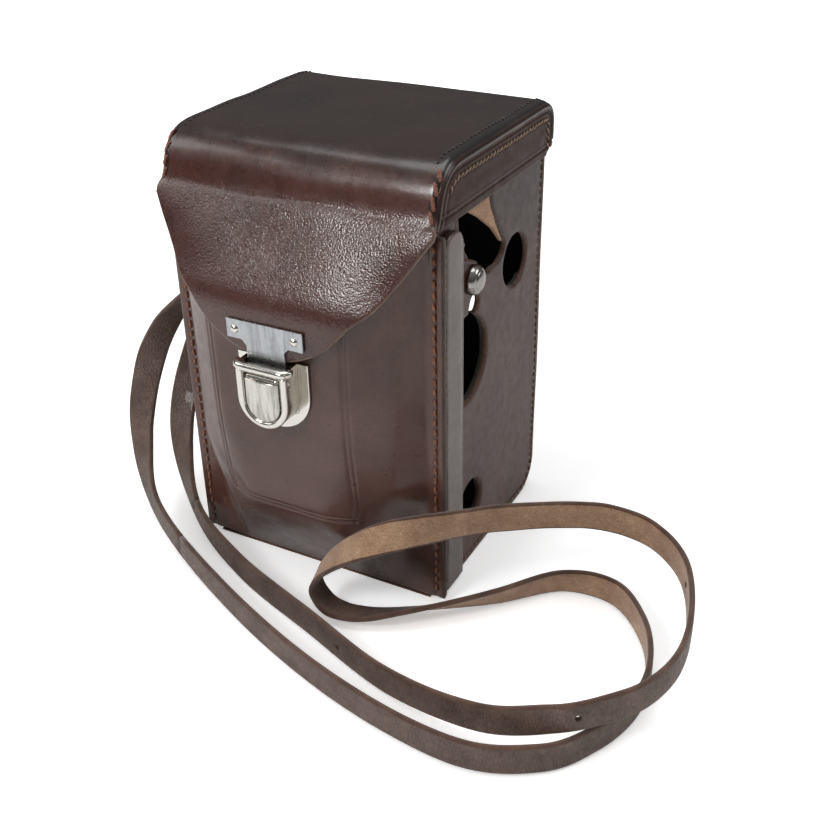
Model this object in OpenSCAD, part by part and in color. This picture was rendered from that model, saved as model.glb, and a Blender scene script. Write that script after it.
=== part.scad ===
// Ever-ready leather case for a twin lens reflex camera: an open-fronted body, a lid
// with a flap and hasp, a moulded front cover with a push lock, and a neck strap.
// Origin: centre of the flat underside. +Z up, the flap and lock face -Y.

/* [Case] */
// Height of the closed case
case_h = 160; // [157:1:163]
// Width over the front cover's stitched flanges
case_w = 103; // [101:1:105]
// Depth from the cover's flange to the back
case_d = 88.5; // [87:0.5:90]
// How far the moulded cover stands forward over the lenses
bulge_d = 18.4; // [17.6:0.2:18.8]
// Thickness of the outer leather
leather_t = 2.4; // [2.2:0.1:2.5]
// Thickness of the felt lining
felt_t = 0.6; // [0.4:0.1:0.7]

/* [Lid] */
// Height of the lid's side walls
lid_h = 20; // [18:1:21]
// Outer radius of the lid's front edge
lid_front_r = 15; // [14:1:16]
// Outer radius of the lid's back edge
lid_back_r = 8; // [6:1:9]
// Radius of the flap's rounded tip
flap_tip_r = 34; // [32:1:36]

/* [Lock] */
// Width of the lock's housing
lock_w = 19; // [18:0.5:20]
// Depth of the lock's housing
lock_d = 7; // [6.8:0.1:7.2]
// Width of the hasp where it is riveted
hasp_w = 29; // [27:1:30]
// Width of the hasp's tongue
tongue_w = 14.5; // [14:0.5:15]

/* [Strap] */
// Width of the neck strap
strap_w = 11; // [9:1:12]
// Thickness of the neck strap
strap_t = 2; // [1.6:0.2:2]

/* [Hidden] */
$fn = 48;

// Planes of the case
front_y = -44;
back_y = front_y + case_d;
flange_x = case_w / 2;
lid_x = flange_x - 0.2;
cover_wall_x = flange_x - 0.6;
body_x = cover_wall_x - 2.7;
body_in_x = body_x - leather_t;
wall_t = leather_t - 0.1;
corner_r = 13;
sheet_gap = 0.4;
seam_t = 1.2;
plate_t = 0.8;

// Lid and its hinge
lid_z = case_h - lid_h;
lid_hinge_z = lid_z + 1.2;
lid_back_z = lid_hinge_z + 1;
body_top_z = lid_z + 0.2;
lid_front_y = front_y - 2;
flap_y = front_y - bulge_d - leather_t - 1;
flap_tip_z = 96.2;
flap_bend_z = 114;
flap_lean_z = lid_z + 1.5;

// Moulded front cover
cover_top_z = lid_z - 2;
cover_bottom_z = 1.2;
cover_wall_d = 16;
cover_wall_top_z = lid_z - 3.5;
bulge_y = front_y - bulge_d;
bulge_mid_y = front_y - bulge_d * 0.54;

// Openings in the sides
stud_y = -15.5;
stud_z = 113.3;
stud_r = 5.3;
shank_r = 1.9;
run_gap = 0.05;
knob_y = 20;
knob_z = 107;
knob_r = 9.8;
focus_y = -19.5;
focus_z = 84.5;
focus_r = 16.5;
notch_y = -13;
notch_z = 103.5;
notch_r = 3.4;
lower_y = -15;
lower_z = 25;
lower_r = 9;
window_x = 16;
window_z = 79;
window_r = 8;
lining_top_z = 99;

// Retaining screw in the base
screw_y = 14;
screw_r = 3.15;
screw_neck_r = 2.6;
screw_head_r = 9;
screw_hole_r = 11;
screw_top_z = 9;
board_t = 1.5;
bush_top_z = leather_t + board_t + plate_t;
bush_bore_r = screw_r + run_gap;

// Lock
lock_front_y = bulge_y - plate_t - lock_d;
lock_top_z = 95.4;
lock_bottom_z = 73;
lock_shell_t = 1;
base_plate_w = 27;
base_plate_bottom_z = 70;
prong_x = [-8, 8];
prong_z = [78, 92];
hasp_y = flap_y - plate_t;
hasp_top_z = 108.3;
hasp_step_z = 101.6;
tongue_z = 92.2;
hasp_rivet_x = 11.3;
hasp_rivet_z = 104.9;
rivet_r = 1;
lip_r = 1.1;
button_w = 13.2;
button_top_z = 90.6;
button_bottom_z = 75;
button_t = 2;
pin_y = lock_front_y + 1.4;
pin_z = button_top_z - 0.2;
pin_r = 0.7;
ear_r = 1.5;
bolt_w = 8;
bolt_z = 84.6;
bolt_h = 3;
bolt_y = lock_front_y + 5.2;
spring_z = lock_bottom_z + 2.4;
spring_r = 1.3;
spring_wire_r = 0.25;

leather_brown = "#4a2a20";
flap_brown = "#54261d";
suede_tan = "#a9784d";
nickel = "#c9c7c0";

// ---- helpers ---------------------------------------------------------------

// Points on an arc in the plane, from angle a0 to a1
function arc(c, r, a0, a1, n = 10) =
  [for (i = [0:n]) c + r * [cos(a0 + (a1 - a0) * i / n), sin(a0 + (a1 - a0) * i / n)]];

// Right-hand normal of a polyline at point i
function side_normal(p, i) =
  let (d = p[min(i + 1, len(p) - 1)] - p[max(i - 1, 0)]) [d[1], -d[0]] / norm(d);

// A polyline moved sideways by t
function shifted(p, t) = [for (i = [0:len(p) - 1]) p[i] + t * side_normal(p, i)];

// Strip of thickness t on the right-hand side of polyline p
module ribbon(p, t) {
  q = shifted(p, t);
  polygon(concat(p, [for (i = [len(q) - 1:-1:0]) q[i]]));
}

// Extrudes a (y, z) outline along X from x0 to x1
module along_x(x0, x1) {
  translate([x0, 0, 0])
    rotate([90, 0, 90])
      linear_extrude(x1 - x0) children();
}

// Extrudes an (x, z) outline along Y from y0 to y1
module along_y(y0, y1) {
  translate([0, y1, 0])
    rotate([90, 0, 0])
      linear_extrude(y1 - y0) children();
}

// Round bar along X
module bar_x(x0, x1, y, z, r) {
  translate([x0, y, z])
    rotate([0, 90, 0]) cylinder(r = r, h = x1 - x0);
}

// Round bar along Y
module bar_y(y0, y1, x, z, r) {
  translate([x, y1, z])
    rotate([90, 0, 0]) cylinder(r = r, h = y1 - y0);
}

// Shield outline: straight sides and a round foot
module shield(w, z0, z1) {
  translate([-w / 2, z0 + w / 2]) square([w, z1 - z0 - w / 2]);
  translate([0, z0 + w / 2]) circle(r = w / 2);
}

// Smooth curve through control points, n steps to each span
function curve_at(p, i, t) =
  let (a = p[max(i - 1, 0)], b = p[i], c = p[i + 1], d = p[min(i + 2, len(p) - 1)])
  0.5 * (2 * b + (c - a) * t + (2 * a - 5 * b + 4 * c - d) * t * t
    + (3 * b - a - 3 * c + d) * t * t * t);

function curve(p, n) = concat(
  [for (i = [0:len(p) - 2]) for (k = [0:n - 1]) curve_at(p, i, k / n)],
  [p[len(p) - 1]]
);

function unit(v) = v / norm(v);
function along(p, i) = unit(p[min(i + 1, len(p) - 1)] - p[max(i - 1, 0)]);

// Sweeps a band of width w and thickness t along p, its width kept to the vectors wide
module band(p, wide, w, t) {
  rings = [for (i = [0:len(p) - 1])
    let (
      d = along(p, i),
      face = unit(cross(d, wide[i])),
      across = cross(face, d)
    )
    for (s = [[1, 1], [-1, 1], [-1, -1], [1, -1]])
      p[i] + across * s[0] * w / 2 + face * s[1] * t / 2];
  last = 4 * (len(p) - 1);
  walls = [for (i = [0:len(p) - 2]) for (k = [0:3])
    let (a = 4 * i + k, b = 4 * i + (k + 1) % 4)
    each [[a, b + 4, b], [a, a + 4, b + 4]]];
  polyhedron(rings, concat(walls, [[0, 1, 2, 3], [last + 3, last + 2, last + 1, last]]));
}

// Coil of round wire along +Z
module coil(r, wire_r, pitch, turns, steps = 14, sides = 6) {
  n = turns * steps;
  rings = [for (i = [0:n]) for (k = [0:sides - 1])
    let (a = 360 * i / steps, b = 360 * k / sides, q = r + wire_r * cos(b))
    [q * cos(a), q * sin(a), pitch * i / steps + wire_r * sin(b)]];
  walls = [for (i = [0:n - 1]) for (k = [0:sides - 1])
    let (a = sides * i + k, b = sides * i + (k + 1) % sides)
    each [[a, b + sides, a + sides], [a, b, b + sides]]];
  foot = [for (k = [sides - 1:-1:0]) k];
  head = [for (k = [0:sides - 1]) sides * n + k];
  polyhedron(rings, concat(walls, [foot, head]));
}

// ---- body ------------------------------------------------------------------

body_front_y = front_y + leather_t + sheet_gap;
bottom_front_y = front_y + 5;

// Back and bottom: one leather wrapped round the lower back corner
module back_bottom_panel() {
  path = concat(
    [[back_y, body_top_z]],
    arc([back_y - corner_r, corner_r], corner_r, 0, -90),
    [[bottom_front_y, 0]]
  );
  color(leather_brown)
    difference() {
      along_x(-body_in_x, body_in_x) ribbon(path, leather_t);
      bar_y(back_y - 2 * leather_t, back_y + 1, window_x, window_z, window_r);
      translate([0, screw_y, -1]) cylinder(r = screw_hole_r, h = leather_t + 2);
    }
}

// Outline of a side, without its openings
module side_outline(top_z) {
  r = corner_r;
  polygon(concat(
    [[body_front_y, top_z], [body_front_y, 0]],
    arc([back_y - r, r], r, -90, 0),
    [[back_y, min(top_z, body_top_z)], [back_y - wall_t - sheet_gap, min(top_z, body_top_z)],
     [back_y - wall_t - sheet_gap, top_z]]
  ));
}

// V opening for the strap, with its neck behind the stud
module v_opening() {
  polygon([
    [-28, case_h], [-28, 125], [-20, 122], [-12, 118.6], [-7.5, 114.6], [-4, 111.2], [5, 111.5],
    [9.5, 113.6], [10.8, 116.6], [4, 126], [0, 133], [-2, 139], [-3, case_h]
  ]);
}

// Holes for the camera's knobs
module knob_openings() {
  translate([knob_y, knob_z]) circle(r = knob_r);
  translate([focus_y, focus_z]) circle(r = focus_r);
  translate([notch_y, notch_z]) circle(r = notch_r);
  translate([notch_y - 4, notch_z - 6]) square([5, 6]);
  translate([lower_y, lower_z]) circle(r = lower_r);
}

module side_panel_outline(holes) {
  difference() {
    side_outline(lid_z + 10);
    v_opening();
    if (holes) knob_openings();
    translate([stud_y, stud_z]) circle(r = shank_r + run_gap);
  }
}

module right_side_panel() {
  color(leather_brown) along_x(body_in_x, body_x) side_panel_outline(true);
}

module left_side_panel() {
  color(leather_brown) along_x(-body_x, -body_in_x) side_panel_outline(false);
}

// Suede facing seen along the upper edge of the right opening
module right_facing() {
  color(suede_tan)
    along_x(body_in_x, body_x - 0.8)
      polygon([
        [-20, lid_z + 9], [-20, 138.6], [-9, 132.4], [2, 125], [9.4, 117.6], [9.9, 117.6],
        [4, 126], [0, 133], [-2, 139], [-2.8, lid_z + 9]
      ]);
}

module back_lining() {
  color("#23231f")
    along_y(back_y - leather_t - felt_t, back_y - leather_t)
      difference() {
        translate([1 - body_in_x + felt_t, corner_r + 1])
          square([2 * (body_in_x - felt_t - 1), body_top_z - corner_r - 5]);
        translate([window_x, window_z]) circle(r = window_r);
      }
}

// Felt on the inside of a side, up to the knob openings
module side_lining(x0, holes) {
  color("#23231f")
    along_x(x0, x0 + felt_t)
      difference() {
        translate([body_front_y + 2, corner_r]) square([case_d - corner_r - 8, lining_top_z - corner_r]);
        if (holes) knob_openings();
      }
}

module right_lining() {
  side_lining(body_in_x - felt_t, true);
}

module left_lining() {
  side_lining(-body_in_x, false);
}

module base_board() {
  color("#3a2a1f")
    difference() {
      translate([-body_in_x + 0.3, bottom_front_y, leather_t])
        cube([2 * body_in_x - 0.6, back_y - corner_r - bottom_front_y, board_t]);
      translate([0, screw_y, 0]) cylinder(r = screw_r + 1.6, h = 10);
    }
}

// Metal ring that carries the retaining screw
module screw_bush() {
  color(nickel)
    translate([0, screw_y, 0])
      difference() {
        union() {
          translate([0, 0, leather_t + board_t]) cylinder(r = 8, h = plate_t);
          translate([0, 0, leather_t + 0.1]) cylinder(r = screw_r + 1.5, h = board_t);
        }
        cylinder(r = bush_bore_r, h = 10);
      }
}

// Slotted, knurled screw that holds the camera: a neck in the bush, the thread above it
module retaining_screw() {
  teeth = 24;
  thread_z = bush_top_z + 0.2;
  color(nickel)
    translate([0, screw_y, 0])
      difference() {
        union() {
          translate([0, 0, 0.2]) cylinder(r = screw_head_r, h = leather_t - 0.3);
          translate([0, 0, 1]) cylinder(r = screw_neck_r, h = thread_z - 1);
          translate([0, 0, thread_z]) cylinder(r = screw_r, h = screw_top_z - thread_z);
        }
        for (i = [0:teeth - 1])
          rotate(i * 360 / teeth)
            translate([screw_head_r + 0.3, 0, -1]) cylinder(r = 0.7, h = leather_t + 2);
        translate([-screw_head_r, -0.8, -1]) cube([2 * screw_head_r, 1.6, 1.9]);
      }
}

// One stud: domed head standing gap off the side, shank through the side
module strap_stud(gap) {
  tail = leather_t + strap_t + 1;
  translate([body_x, stud_y, stud_z])
    rotate([0, 90, 0]) {
      translate([0, 0, -tail]) cylinder(r = shank_r, h = tail + gap + 1);
      intersection() {
        translate([0, 0, gap]) cylinder(r = stud_r, h = stud_r);
        translate([0, 0, gap - 1.5]) sphere(r = stud_r + 0.3);
      }
    }
}

// The strap is inside the right side, and between head and leather on the left
module strap_studs() {
  color(nickel) {
    strap_stud(0.1);
    mirror([1, 0, 0]) strap_stud(strap_t + 0.3);
  }
}

// Washers under the peened inner ends of the studs
module stud_washers() {
  color(nickel)
    for (s = [-1, 1]) {
      x = s * (body_in_x - strap_t - 0.5);
      difference() {
        bar_x(x - 0.3, x + 0.3, stud_y, stud_z, 3.6);
        bar_x(-body_x, body_x, stud_y, stud_z, shank_r + run_gap);
      }
    }
}

// Leather hinge between the back and the lid, glued behind the back panel
module lid_hinge_strip() {
  y = back_y - leather_t - seam_t;
  color(leather_brown)
    translate([-body_in_x + 2, y, lid_z - 3.6]) cube([2 * body_in_x - 4, seam_t, 3.6]);
}

// Leather hinge between the bottom and the front cover
module cover_hinge_strip() {
  color(leather_brown)
    translate([-body_in_x, front_y + 1.6, 0]) cube([2 * body_in_x, bottom_front_y - front_y - 1.6, 0.8]);
}

// Course of the strap: from the left stud, over the floor in front, round its loop and
// back, in through the left opening, across above the camera, down to the right stud
tab_x = body_x + strap_t / 2 + 0.2;
in_x = body_in_x - strap_t / 2 - 0.1;
floor_z = strap_w / 2 + 0.5;
strap_down = [
  [-tab_x, stud_y, stud_z - 4], [-tab_x - 0.5, stud_y, stud_z - 8], [-53, -18, 100], [-63, -22, 91],
  [-76, -26, 76], [-85, -30, 56], [-84, -40, 32]
];
strap_on_floor = [
  [-64, -58, 12], [-13, -83, floor_z], [41, -103, floor_z], [87, -110, floor_z],
  [112, -101, floor_z], [124, -86, floor_z], [130, -68, floor_z], [129, -50, floor_z],
  [121, -32, floor_z], [106, -18, floor_z], [87, -20, floor_z], [70, -38, floor_z],
  [57, -50, floor_z], [43, -60, 5], [33, -65, 3.6], [24, -67, 3], [17, -67, 4.5],
  [12.8, -66.6, 11], [16, -66, 18.5], [23, -66, 26], [33, -65, 33.5], [43, -60, 37.5], [53.5, -50.5, 38],
  [60.5, -42, 37], [68, -34, 36], [85, -20, 34], [100, -13, 33], [116, -13, 31], [130, -23, 28],
  [138, -41, 24], [140, -60, 21.5], [135, -76, 20], [125, -87, 18.5], [113, -94, 16],
  [90, -97, 9], [56, -93, floor_z], [18, -80, floor_z], [-22, -65, floor_z], [-52, -50, 13]
];
strap_up = [
  [-70, -32, 36], [-71, -16, 62], [-63, -4, 90], [-56, -3, 110], [-52, -6, 121], [-47.5, -9, 130],
  [-44.4, -8.5, 137], [-42.5, -5, 145], [-36, -5, 151.6], [-20, -6, 152.6], [20, -14, 152.6],
  [36, -20, 151.6], [42.5, -24, 145], [in_x - 0.4, -25.5, 137], [in_x - 0.2, -24, 127],
  [in_x, -20.5, stud_z + 7], [in_x, stud_y - 2, stud_z + 2.8]
];
strap_course = concat(strap_down, strap_on_floor, strap_up);

// Direction of the strap's width at each point of its course: on edge along the floor,
// laid over on its side where it folds back at the end of the loop
strap_wide = concat(
  [[0, 1, 0], [0, 1, 0], [0.2, 1, 0], [0.3, 1, 0], [0.6, 0.8, 0], [0.8, 0.5, 0.1], [0.7, 0.3, 0.6]],
  [for (i = [0:9]) [0, 0, 1]],
  [for (a = [12, 30, 45, 60, 72, 80, 86, 92, 100, 116, 136, 155, 172]) [0.25 * sin(a), -sin(a), cos(a)]],
  [for (i = [23:len(strap_on_floor) - 1]) [0, 0, -1]],
  [[-0.7, -0.3, -0.5], [-0.7, -0.7, -0.1], [-0.2, -1, 0]],
  [for (i = [3:len(strap_up) - 1]) [0, -1, 0]]
);

// End of the strap, pierced for a stud
module strap_end(x0, z0, z1) {
  along_x(x0, x0 + strap_t)
    difference() {
      union() {
        translate([stud_y - strap_w / 2, z0]) square([strap_w, z1 - z0]);
        translate([stud_y, stud_z]) circle(r = strap_w / 2);
      }
      translate([stud_y, stud_z]) circle(r = shank_r + run_gap);
    }
}

module neck_strap() {
  steps = 3;
  color("#6b4a35") {
    band(curve(strap_course, steps), curve(strap_wide, steps), strap_w, strap_t);
    strap_end(-tab_x - strap_t / 2, stud_z - 4.2, stud_z);
    strap_end(in_x - strap_t / 2, stud_z, stud_z + 0.1);
  }
}

// ---- lid -------------------------------------------------------------------

// Outer profile of the lid, from the flap's tip over the top to the back hinge
lid_profile = concat(
  [[flap_y, flap_tip_z], [flap_y, flap_bend_z - 3]],
  [[flap_y + 0.6, flap_bend_z], [flap_y + 2.2, flap_bend_z + 3.4]],
  [[lid_front_y - 2.6, flap_lean_z], [lid_front_y - 0.7, case_h - lid_front_r - 1]],
  arc([lid_front_y + lid_front_r, case_h - lid_front_r], lid_front_r, 180, 90),
  arc([back_y - lid_back_r, case_h - lid_back_r], lid_back_r, 90, 0),
  [[back_y, lid_back_z]]
);

// Width outline of the lid: full width above, a rounded tongue for the flap below
module lid_width_outline() {
  tip_c = flap_tip_z + flap_tip_r;
  polygon(concat(
    arc([0, tip_c], flap_tip_r, -148, -32, 24),
    [[36.5, 118], [44, 128], [49.4, 136], [lid_x, lid_z + 1.5], [lid_x, case_h + 1]],
    [[-lid_x, case_h + 1], [-lid_x, lid_z + 1.5], [-49.4, 136], [-44, 128], [-36.5, 118]]
  ));
}

// Top, flap and back strip: one leather
module lid_panel() {
  color(flap_brown)
    difference() {
      intersection() {
        along_x(-lid_x, lid_x) ribbon(lid_profile, leather_t);
        along_y(flap_y - 1, back_y + 1) lid_width_outline();
      }
      for (s = [-1, 1])
        bar_y(flap_y - 1, flap_y + 5, s * hasp_rivet_x, hasp_rivet_z, rivet_r + run_gap);
    }
}

module lid_wall_outline() {
  inner = leather_t + 0.3;
  polygon(concat(
    [[lid_front_y + 0.4, lid_z]],
    arc([lid_front_y + lid_front_r, case_h - lid_front_r], lid_front_r - inner, 180, 90),
    arc([back_y - lid_back_r, case_h - lid_back_r], lid_back_r - inner, 90, 0),
    [[back_y - inner, lid_back_z + 1], [back_y - inner - 4, lid_z]]
  ));
}

module lid_right_wall() {
  color(leather_brown) along_x(lid_x - wall_t, lid_x) lid_wall_outline();
}

module lid_left_wall() {
  color(leather_brown) along_x(-lid_x, -lid_x + wall_t) lid_wall_outline();
}

module lid_lining() {
  z = case_h - leather_t - felt_t;
  y0 = lid_front_y + lid_front_r;
  color("#23231f")
    translate([-lid_x + 4, y0, z]) cube([2 * lid_x - 8, back_y - lid_back_r - y0, felt_t]);
}

module hasp_outline() {
  polygon([
    [-hasp_w / 2, hasp_top_z], [hasp_w / 2, hasp_top_z], [hasp_w / 2, hasp_step_z],
    [tongue_w / 2 + 1.6, hasp_step_z], [tongue_w / 2, hasp_step_z - 1.8], [tongue_w / 2, tongue_z],
    [-tongue_w / 2, tongue_z], [-tongue_w / 2, hasp_step_z - 1.8],
    [-tongue_w / 2 - 1.6, hasp_step_z], [-hasp_w / 2, hasp_step_z]
  ]);
}

module hasp_plate() {
  color(nickel)
    along_y(hasp_y, flap_y)
      difference() {
        hasp_outline();
        for (s = [-1, 1])
          translate([s * hasp_rivet_x, hasp_rivet_z]) circle(r = rivet_r + run_gap);
      }
}

module hasp_backing_plate() {
  y0 = flap_y + leather_t;
  color(nickel)
    along_y(y0, y0 + 0.4)
      difference() {
        translate([-hasp_w / 2, hasp_step_z]) square([hasp_w, hasp_top_z - hasp_step_z]);
        for (s = [-1, 1])
          translate([s * hasp_rivet_x, hasp_rivet_z]) circle(r = rivet_r + run_gap);
      }
}

module hasp_rivets() {
  color(nickel)
    for (s = [-1, 1]) {
      bar_y(hasp_y - 0.2, flap_y + leather_t + 0.6, s * hasp_rivet_x, hasp_rivet_z, rivet_r);
      intersection() {
        bar_y(hasp_y - 1.2, hasp_y, s * hasp_rivet_x, hasp_rivet_z, 1.5);
        translate([s * hasp_rivet_x, hasp_y + 0.9, hasp_rivet_z]) sphere(r = 1.8);
      }
    }
}

// ---- front cover -----------------------------------------------------------

// Holes for the prongs that hold the lock
module prong_holes() {
  for (x = prong_x)
    for (z = prong_z)
      translate([x, z]) circle(r = rivet_r + run_gap);
}

// Moulded dome of the cover, drawn in by o on every side
module bulge(o) {
  hull() {
    along_y(bulge_y + o, bulge_y + o + 0.1)
      translate([-25.5 + o, 36 + o]) square([51 - 2 * o, 75 - 2 * o]);
    along_y(bulge_mid_y, bulge_mid_y + 0.1)
      polygon([
        [-39.5 + o, 50], [-28, 18 + o], [28, 18 + o], [39.5 - o, 50],
        [39.5 - o, 119], [30, 124 - o], [-30, 124 - o], [-39.5 + o, 119]
      ]);
    along_y(front_y, front_y + 0.1)
      translate([-45.5 + o, 2.2 + o]) square([91 - 2 * o, cover_top_z - 4.6 - 2 * o]);
  }
}

module front_panel() {
  color(leather_brown)
    difference() {
      union() {
        along_y(front_y, front_y + leather_t)
          translate([-flange_x, cover_bottom_z]) square([case_w, cover_top_z - cover_bottom_z]);
        bulge(0);
      }
      bulge(leather_t);
      along_y(front_y - 0.5, front_y + leather_t + 1)
        translate([-45.5 + leather_t, 2.2 + leather_t])
          square([91 - 2 * leather_t, cover_top_z - 4.6 - 2 * leather_t]);
      along_y(bulge_y - 1, bulge_y + leather_t + 1) prong_holes();
    }
}

// Side wall of the cover, rounded at the top, lapping over the body
module cover_wall(x0) {
  y0 = front_y + leather_t;
  r = (cover_wall_d - 0.2) / 2;
  color(leather_brown)
    along_x(x0, x0 + wall_t) {
      translate([y0, cover_bottom_z]) square([2 * r, cover_wall_top_z - r - cover_bottom_z]);
      translate([y0 + r, cover_wall_top_z - r]) circle(r = r);
    }
}

module cover_right_wall() {
  cover_wall(cover_wall_x - wall_t);
}

module cover_left_wall() {
  cover_wall(-cover_wall_x);
}

module lock_base_plate() {
  color(nickel)
    along_y(bulge_y - plate_t, bulge_y)
      difference() {
        shield(base_plate_w, base_plate_bottom_z, lock_top_z);
        prong_holes();
      }
}

module lock_backing_plate() {
  y0 = bulge_y + leather_t;
  color(nickel)
    along_y(y0, y0 + 0.5)
      difference() {
        translate([-11, 75]) square([22, 20]);
        prong_holes();
      }
}

// Prongs that pass through the leather and are bent behind the backing plate
module lock_prongs() {
  color(nickel)
    for (x = prong_x)
      for (z = prong_z) {
        bar_y(bulge_y - plate_t, bulge_y + leather_t + 0.5, x, z, rivet_r);
        bar_y(bulge_y + leather_t + 0.5, bulge_y + leather_t + 1, x, z, 1.7);
      }
}

// Housing with a slot on top for the tongue, a window for the button and a rounded lip
module lock_housing() {
  y1 = bulge_y - plate_t;
  inner_w = lock_w - 2 * lock_shell_t;
  slot_y0 = hasp_y - 2.2;
  slot_w = tongue_w + 1;
  color(nickel)
    difference() {
      union() {
        along_y(lock_front_y, y1) shield(lock_w, lock_bottom_z, lock_top_z);
        bar_x(-lock_w / 2 - 0.6, lock_w / 2 + 0.6, lock_front_y + 0.3, lock_top_z - lip_r, lip_r);
      }
      along_y(lock_front_y + lock_shell_t, y1 + 1)
        shield(inner_w, lock_bottom_z + lock_shell_t, lock_top_z - lock_shell_t);
      translate([-slot_w / 2, slot_y0, lock_top_z - 2]) cube([slot_w, y1 - slot_y0 - 0.6, 4]);
      along_y(lock_front_y - 1, lock_front_y + 2)
        shield(button_w + 0.6, button_bottom_z - 0.5, pin_z + ear_r + 0.2);
      bar_x(-lock_w, lock_w, pin_y, pin_z, pin_r + run_gap);
    }
}

module lock_hinge_pin() {
  color(nickel) bar_x(-lock_w / 2 + 0.1, lock_w / 2 - 0.1, pin_y, pin_z, pin_r);
}

// Shield-shaped push button, hung on the pin at its top
module lock_button() {
  color(nickel)
    difference() {
      union() {
        along_y(lock_front_y - 1, lock_front_y - 1 + button_t)
          shield(button_w, button_bottom_z, button_top_z);
        bar_x(-button_w / 2, button_w / 2, pin_y, pin_z, ear_r);
      }
      bar_x(-lock_w, lock_w, pin_y, pin_z, pin_r + run_gap);
    }
}

// Sliding bolt behind the button
module latch_bolt() {
  color(nickel)
    translate([-bolt_w / 2, bolt_y - 1, bolt_z]) cube([bolt_w, 2, bolt_h]);
}

module lock_spring() {
  turns = 5;
  pitch = (bolt_z - spring_z - 2 * spring_wire_r - 0.2) / turns;
  color("#8f8f8a")
    translate([0, bolt_y - 0.2, spring_z]) coil(spring_r, spring_wire_r, pitch, turns);
}

back_bottom_panel();
right_side_panel();
left_side_panel();
right_facing();
back_lining();
right_lining();
left_lining();
base_board();
screw_bush();
strap_studs();
stud_washers();
lid_hinge_strip();
cover_hinge_strip();
neck_strap();
retaining_screw();
lid_panel();
lid_right_wall();
lid_left_wall();
lid_lining();
hasp_plate();
hasp_backing_plate();
hasp_rivets();
front_panel();
cover_right_wall();
cover_left_wall();
lock_base_plate();
lock_backing_plate();
lock_prongs();
lock_housing();
lock_hinge_pin();
lock_spring();
lock_button();
latch_bolt();
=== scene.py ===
import math

import bmesh
import bpy
import numpy as np
from mathutils import Matrix, Vector


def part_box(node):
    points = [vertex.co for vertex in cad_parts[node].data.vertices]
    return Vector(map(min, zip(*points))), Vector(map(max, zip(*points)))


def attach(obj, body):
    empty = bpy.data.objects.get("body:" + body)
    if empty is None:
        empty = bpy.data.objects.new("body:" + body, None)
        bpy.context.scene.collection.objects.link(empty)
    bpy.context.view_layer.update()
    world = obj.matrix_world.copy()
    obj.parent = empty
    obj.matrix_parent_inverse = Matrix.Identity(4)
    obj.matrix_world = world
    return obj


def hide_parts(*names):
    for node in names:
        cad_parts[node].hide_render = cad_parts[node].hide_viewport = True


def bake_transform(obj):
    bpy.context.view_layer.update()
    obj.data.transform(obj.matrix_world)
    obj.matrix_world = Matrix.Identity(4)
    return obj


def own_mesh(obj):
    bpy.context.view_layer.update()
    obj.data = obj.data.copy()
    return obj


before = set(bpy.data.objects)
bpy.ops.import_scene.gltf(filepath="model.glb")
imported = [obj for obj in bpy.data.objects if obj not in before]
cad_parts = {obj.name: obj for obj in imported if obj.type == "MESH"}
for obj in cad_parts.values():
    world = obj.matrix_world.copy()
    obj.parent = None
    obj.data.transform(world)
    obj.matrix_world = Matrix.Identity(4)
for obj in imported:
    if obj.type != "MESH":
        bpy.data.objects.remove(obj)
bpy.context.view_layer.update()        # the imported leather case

MM = 0.001
rng = np.random.RandomState(11)


def box(node):
    """Lowest and highest corner of a CAD node, in millimetres."""
    low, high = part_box(node)
    return np.array(low) / MM, np.array(high) / MM


# ---- places and sizes in millimetres, from model.glb and from the photo ----

LID_LOW, LID_HIGH = box("lid_panel")
COVER_LOW, COVER_HIGH = box("front_panel")
SIDE_LOW, SIDE_HIGH = box("right_side_panel")
WALL_LOW = box("lid_right_wall")[0]
STRIP_LOW, STRIP_HIGH = box("cover_right_wall")
LOCK_LOW, LOCK_HIGH = box("lock_housing")
BUTTON_LOW, BUTTON_HIGH = box("lock_button")
PIN_LOW, PIN_HIGH = box("lock_hinge_pin")
STUD_LOW, STUD_HIGH = box("strap_studs")
STUD_Y = (STUD_LOW[1] + STUD_HIGH[1]) / 2
STUD_Z = (STUD_LOW[2] + STUD_HIGH[2]) / 2

LEATHER = 2.4                       # thickness of the case's leather
FELT_SLACK = 0.75                   # how far the lid's felt hangs off the leather
SEAM_INSET = 3.0                    # from an edge of the body's sides to their stitches
BOTTOM_R = 13                       # round of the body between its back and its bottom
FLANGE_SEAM_X = 48.9                # rows of stitches down the front flanges
CREASE_X = 25.5                     # upright creases of the moulded front
CREASE_Z = 36                       # level crease of the moulded front
SIDES = ((1, "right"), (-1, "left"))
FLANGE_Y = COVER_HIGH[1] - LEATHER
BULGE = FLANGE_Y - COVER_LOW[1]
FLANGE_X = COVER_HIGH[0]
LID_X = LID_HIGH[0]
LID_Z = WALL_LOW[2]
TOP_Z = LID_HIGH[2]
FLAP_Y = LID_LOW[1]
TIP_Z = LID_LOW[2]
BACK_Y = LID_HIGH[1]
LID_FRONT_Y = FLANGE_Y - 2
LID_FRONT_R = 15
LID_BACK_R = 8
TIP_R = 34                          # round tip of the flap, and how far round it runs each way
TIP_HALF_ANGLE = 58
FLAP_EDGE_X = (36.5, 44, 49.4)      # points of the flap's edge above its tip
FLAP_EDGE_Z = (118, 128, 136)


# ---- mesh helpers ----

def smoothstep(a, b, x):
    t = np.clip((x - a) / (b - a), 0, 1)
    return t * t * (3 - 2 * t)


def ripple(p, wave, seed):
    """Smooth unevenness between about -1 and 1 at points p, with bumps about wave mm across."""
    local = np.random.RandomState(seed)
    total = np.zeros(p.shape[:-1])
    for _ in range(7):
        k = local.normal(size=3)
        k *= 2 * math.pi / (wave * local.uniform(0.7, 1.8) * np.linalg.norm(k))
        total += np.sin(p @ k + local.uniform(0, 6.28))
    return total / 3.5


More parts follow.
